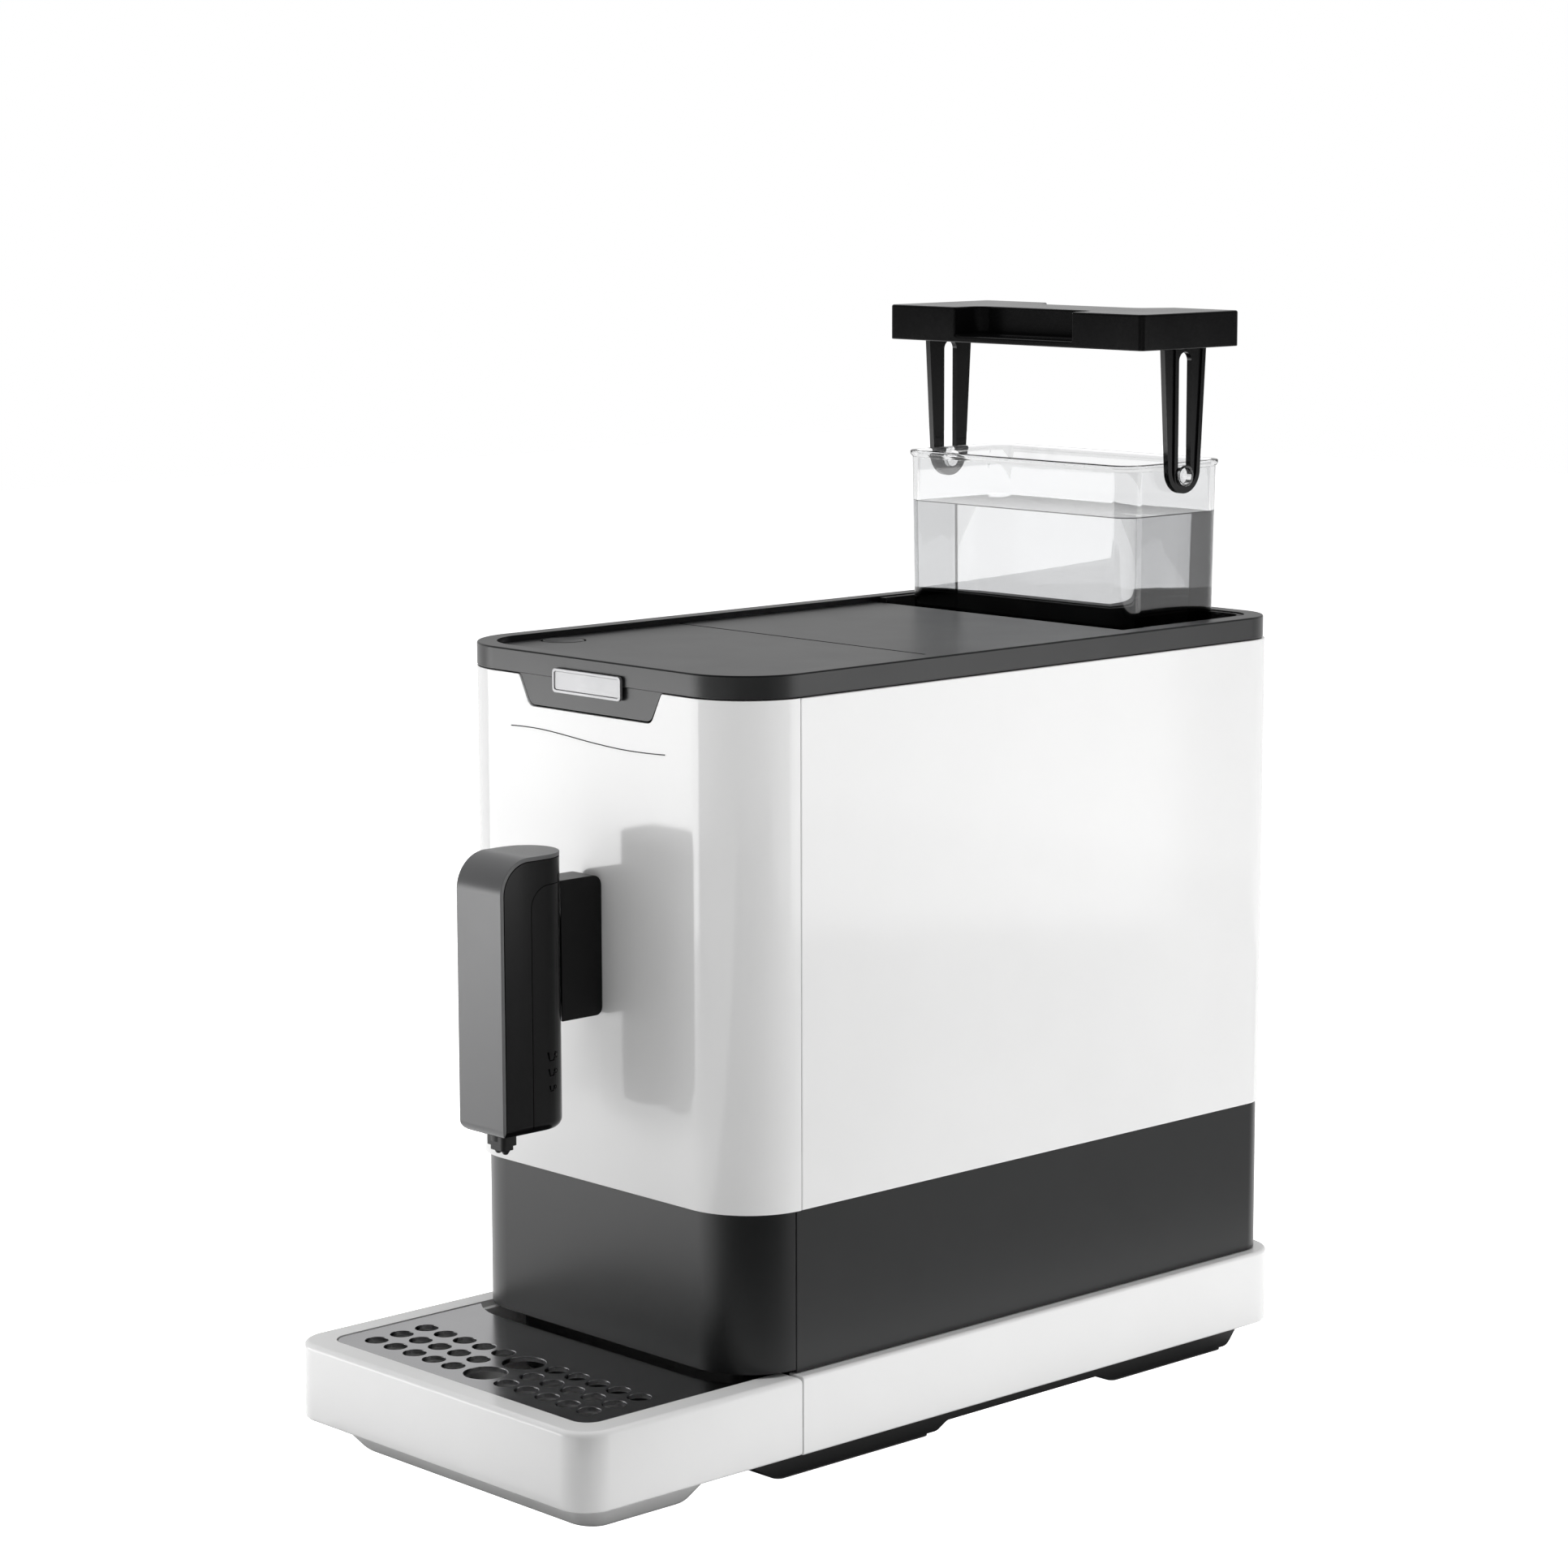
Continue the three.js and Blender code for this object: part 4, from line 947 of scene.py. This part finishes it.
SHELL_WALL = 2.2
CHEEK_R = 14  # of the front shell's upper corner, seen from the side
FACE_WALL = 1.6
SHELL_GAP = 0.3
CUP_MARK_Y = -146
CUP_MARK_PITCH = 6.3
CUP_MARK_FLOOR = 12.45  # x, just inside the shell's side
HANDLE_FLOOR = 12.3
CUP_MARK_OUT = 15
CUP_FOOT = 0.6  # width of a cup's foot against its mouth
SLOT_HALF, SLOT_LOW, SLOT_HIGH = 7.2, 149, 232.5  # in the rear shell
NECK_HALF, NECK_LOW, NECK_HIGH = 5.8, 186, 220  # of the bracket, running in the slot
HEAD_HALF, BRACKET_HALF = 9.4, 6.8
BRACKET_GAP = 0.5  # around the spout's round back


def trapezoid(y, top_half, low_half, high, low):
    """A cup's outline in (y, z)."""
    return [(y - top_half, high), (y + top_half, high), (y + low_half, low), (y - low_half, low)]


def make_spout():
    _, half, front, _, low, top = span("spout_front_shell")
    _, _, seam, back, _, crown = span("spout_rear_shell")
    back_centre = back - half

    def plan(inset, start):
        """The spout from above: flat in front and round behind."""
        r = half - inset
        loop = [(-r, start), (r, start), (r, back_centre)]
        for i in range(1, 33):
            a = math.pi * i / 32
            loop.append((r * math.cos(a), back_centre + r * math.sin(a)))
        return loop

    def cheek(start, ceiling, r):
        """Everything behind a line that rises from below and curves back at the top."""
        side = [(start, low - OVER), (-100, low - OVER), (-100, ceiling)]
        for i in range(17):
            a = math.pi / 2 + math.pi / 2 * i / 16
            side.append((start + r + r * math.cos(a), ceiling - r + r * math.sin(a)))
        return prism("cheek", side, -40, 40, "x")

    def part(start, ceiling, r):
        """The part of the spout that lies behind a cheek's line."""
        whole = pebble("whole", lambda inset: plan(inset, front + inset), low, top, foot=4.0, steps=8)
        return combine(whole, cheek(start, ceiling, r), operation="INTERSECT")

    face = part(front, top, CHEEK_R)
    combine(face, cheek(front + FACE_WALL, top - FACE_WALL, CHEEK_R - FACE_WALL))
    finish(face, "spout_front_face", "spout", "spout_grey", ["spout_front_shell"], bevel=0.7, steps=4)

    inset = FACE_WALL + SHELL_GAP
    side = part(front + inset, top - inset, CHEEK_R - inset)
    nozzle_y = middle("spout_nozzle")[1]
    combine(
        side,
        cheek(seam - SHELL_GAP, crown + SHELL_GAP, 9),
        prism("hollow", plan(SHELL_WALL, front + 6), low + 3, top - 6),
        rod("hole", 5.2, low - OVER, low + 8, (0, nozzle_y, 0)),
    )
    finish(side, "spout_side", "spout", "black_gloss", ["spout_side_shell"], bevel=0.35)

    slot_y = back - 5.2
    rear = part(seam, crown, 8.7)
    combine(
        rear,
        prism("hollow", plan(SHELL_WALL, front + 6), low + 3, crown - 2.4),
        block("slot", -SLOT_HALF, SLOT_HALF, slot_y, slot_y + 20, SLOT_LOW, SLOT_HIGH),
    )
    # Three cup marks, from small to large.
    y = CUP_MARK_Y
    for i, size in enumerate((0.8, 1.0, 1.2)):
        z = low + 17 + i * CUP_MARK_PITCH
        wide, tall = 2.0 * size, 1.5 * size
        narrow = wide * CUP_FOOT
        cup = prism("cup", trapezoid(y, wide, narrow, z + tall, z - tall), CUP_MARK_FLOOR, CUP_MARK_OUT, "x")
        inside = trapezoid(y, wide - 0.7, narrow - 0.5, z + tall + 1, z - tall + 0.5)
        combine(cup, prism("inside", inside, 10, 16, "x"))
        inner_r = 0.5 * size
        profile = [(inner_r, HANDLE_FLOOR), (size, HANDLE_FLOOR), (size, CUP_MARK_OUT), (inner_r, CUP_MARK_OUT)]
        combine(rear, cup, lathe("handle", profile, (0, y + wide + 0.3, z + 0.3), "x", 20))
    finish(rear, "spout_rear", "spout", "black_gloss", ["spout_rear_shell"], bevel=0.35)

    z0, z1 = span("spout_nozzle")[4:]
    y = nozzle_y
    nozzle = prism("nozzle", outline(-5.4, 5.4, y - 3.8, y + 3.8, 1.8, 6), z1 - 5.8, z1 - 1.2)
    lower = prism("lower", outline(-4.2, 4.2, y - 3.0, y + 3.0, 1.5, 6), z1 - 7.8, z1 - 5.5)
    combine(nozzle, lower, rod("neck", 4.4, z1 - 4, z1, (0, y, 0)), operation="UNION")
    profile = [(0, z0), (0.9, z0 + 0.3), (1.8, z0 + 1.7), (1.8, z0 + 3), (0, z0 + 3)]
    for x in (-2.1, 2.1):
        combine(nozzle, lathe("tip", profile, (x, y, 0), steps=24), operation="UNION")
    finish(nozzle, "nozzle", "spout", "black_matte", ["spout_nozzle"], bevel=0.3)

    # The bracket's body wraps the spout's round back. Its neck ends in a head behind the slot.
    _, _, y0, y1, z0, z1 = span("spout_bracket")
    start = back - 3.6
    edge = soften([(start, z0), (y1, z0), (y1, z1), (start, z1)], [0, 3, 4, 0])
    bracket = prism("bracket", edge, -BRACKET_HALF, BRACKET_HALF, "x")
    combine(bracket, rod("round", half + BRACKET_GAP, z0 - OVER, z1 + OVER, (0, back_centre, 0), steps=96))
    neck = block("neck", -NECK_HALF, NECK_HALF, y0, back + 2, NECK_LOW, NECK_HIGH)
    head = block("head", -HEAD_HALF, HEAD_HALF, y0, y0 + 3.4, NECK_LOW, NECK_HIGH)
    combine(bracket, neck, head, operation="UNION")
    finish(bracket, "bracket", "machine", "black_gloss", ["spout_bracket"], bevel=0.9, steps=4)


# ---------- tray ----------

TUB_LOW = 14.2
TUB_BACK = -86.2
TUB_CORNER = 14
TUB_RIM = 11
TUB_FLOOR = 2.2
CAVITY_BACK = 16
EXTENSION_HALF, EXTENSION_TOP = 78, 41.5  # the tub's part under the grounds container
BOWL_HALF, BOWL_FRONT, BOWL_BACK, BOWL_CORNER = 82, -190, -116, 12  # mouth of the bowl under the tub
BOWL_Y = -150  # depth from which the bowl widens upwards
BOWL_WALL = 2.5
GRATE_BACK = -102
GRATE_GAP = 4.6  # around the dark front
HOLE_R, WIDE_HOLE_R = 4.7, 8.6
HOLE_COLUMNS = 5
HOLE_X, HOLE_PITCH = 16.2, 12.2
HOLE_Y, ROW_PITCH = -160.6, 12.65
WIDE_HOLES_Y = (-170.3, -150.9)
FACE_R = CORNER - 2.8  # front corners of the dark front
FACE_BACK = -60  # past the back of the dark front
BIN_WALL = 2
LIP_BACK, LIP_LOW = -98.4, 100  # behind and above these, the dark front is cut away


def bowl_edge(inset, t):
    """The outline of the bowl, from its foot at 0 to its mouth at 1."""
    fx, fy = 0.87 + 0.13 * t, 0.72 + 0.28 * t
    loop = outline(
        inset - BOWL_HALF, BOWL_HALF - inset, inset + BOWL_FRONT, BOWL_BACK - inset, BOWL_CORNER - inset, 12
    )
    return [(x * fx, BOWL_Y + (y - BOWL_Y) * fy) for x, y in loop]


def make_tub():
    x0, x1, y0, y1, low, z1 = span("drip_tray")
    tub_edge = rounded_edge(x0, x1, y0, TUB_BACK, (TUB_CORNER, TUB_CORNER, 0, 0), 20)
    tub = pebble("tub", tub_edge, TUB_LOW, z1, foot=1.4, brow=2.4)
    rings = []
    for i in range(6):
        a = math.pi / 2 * i / 5
        fx, fy = 1 - 0.02 * (1 - math.sin(a)), 1 - 0.05 * (1 - math.sin(a))
        rise = 1 - math.cos(a)
        rings.append([
            (x * fx, BOWL_Y + (y - BOWL_Y) * fy, low + 2.2 * rise) for x, y in bowl_edge(0, 0.15 * rise)
        ])
    rings.append([(x, y, TUB_LOW + 1) for x, y in bowl_edge(0, 1)])
    extension_edge = outline(-EXTENSION_HALF, EXTENSION_HALF, TUB_BACK - 14, y1, (0, 0, 4, 4), 8)
    extension = prism("extension", extension_edge, TUB_LOW, EXTENSION_TOP)
    combine(tub, from_rings("bowl", rings), extension, operation="UNION")

    # A ledge for the grate, the room under it, and the basin in the bowl.
    ledge = outline(x0 + TUB_RIM, x1 - TUB_RIM, y0 + TUB_RIM, TUB_BACK + 2, (8, 8, 0, 0), 12)
    wall = TUB_RIM + 3
    cavity = outline(x0 + wall, x1 - wall, y0 + wall, CAVITY_BACK, (6, 6, 3, 3), 10)
    floor_z = TUB_LOW + TUB_FLOOR
    basin = [(bowl_edge(BOWL_WALL, 0), low + 2), (bowl_edge(BOWL_WALL, 1), floor_z + 0.6)]
    combine(
        tub,
        prism("ledge", ledge, span("drip_grate")[4] - 0.3, z1 + OVER),
        prism("cavity", cavity, floor_z, z1 + OVER),
        from_rings("basin", [[(x, y, z) for x, y in loop] for loop, z in basin]),
    )
    finish(tub, "tray_tub", "drip_tray", "white_gloss", ["drip_tray"], bevel=0.5)


def make_grate():
    """A perforated plate: five columns of holes on each side and two wide holes between them."""
    x0, x1, y0, _, z0, z1 = span("drip_grate")
    face_x0, face_x1, face_y0 = span("grounds_front")[:3]
    low, high = z0 - 3, z1 + 3  # for cutting
    plate = prism("plate", outline(x0, x1, y0, GRATE_BACK, (7.6, 7.6, 0, 0), 12), z0, z1)
    r = FACE_R + GRATE_GAP
    around = outline(face_x0 - GRATE_GAP, face_x1 + GRATE_GAP, face_y0 - GRATE_GAP, FACE_BACK, (r, r, 0, 0), 32)
    combine(plate, prism("around", around, low, high))
    holes = []
    for sign in (-1, 1):
        for column in range(HOLE_COLUMNS):
            for row in (-1, 0, 1):
                centre = (sign * (HOLE_X + column * HOLE_PITCH), HOLE_Y + row * ROW_PITCH, 0)
                holes.append(rod("hole", HOLE_R, low, high, centre, steps=32))
    for y in WIDE_HOLES_Y:
        holes.append(rod("hole", WIDE_HOLE_R, low, high, (0, y, 0), steps=48))
    combine(plate, together(holes))
    finish(plate, "grate_plate", "drip_grate", "steel", ["drip_grate"], bevel=0.3)


def make_grounds():
    """The grounds container and its dark front."""
    x0, x1, y0, y1, z0, z1 = span("grounds_front")

    def edge(inset):
        r = FACE_R - inset
        return outline(x0 + inset, x1 - inset, y0 + inset, FACE_BACK, (r, r, 0, 0), 24)

    face = prism("face", edge(0), z0, z1)
    combine(
        face,
        prism("inner", edge(WALL), z0 - OVER, z1 - WALL),
        across("behind", y1, FAR),
        block("over", -80, 80, LIP_BACK, FACE_BACK, LIP_LOW, 120),
    )
    finish(face, "grounds_front_face", "drip_tray", "charcoal", ["grounds_front"], bevel=0.5)

    x0, x1, y0, y1, z0, z1 = span("grounds_container")
    wall = BIN_WALL
    bin_ = pebble("bin", rounded_edge(x0, x1, y0, y1, 5, 8), z0, z1, foot=3)
    room = rounded_edge(x0 + wall, x1 - wall, y0 + wall, y1 - wall, 3.2, 8)
    combine(bin_, pebble("room", room, z0 + wall, z1 + OVER, foot=2.4))
    finish(bin_, "grounds_bin", "drip_tray", "black_matte", ["grounds_container"], bevel=0.4)


# ---------- the model ----------

add_camera()
add_world()
add_lights()
add_floor()
add_cards()
looks = finishes()

slots = {part["node"]: part["material_slot"] for part in frame["record"]["subparts"]}
for node, piece in frame["nodes"].items():
    for index in range(len(piece.material_slots)):
        piece.material_slots[index].material = looks[slots[node]]

make_base()
make_front()
make_sides()
make_lower()
make_rear()
make_frame()
make_panel()
make_hopper()
make_well()
make_tank()
make_tank_lid()
make_spout()
make_tub()
make_grate()
make_grounds()
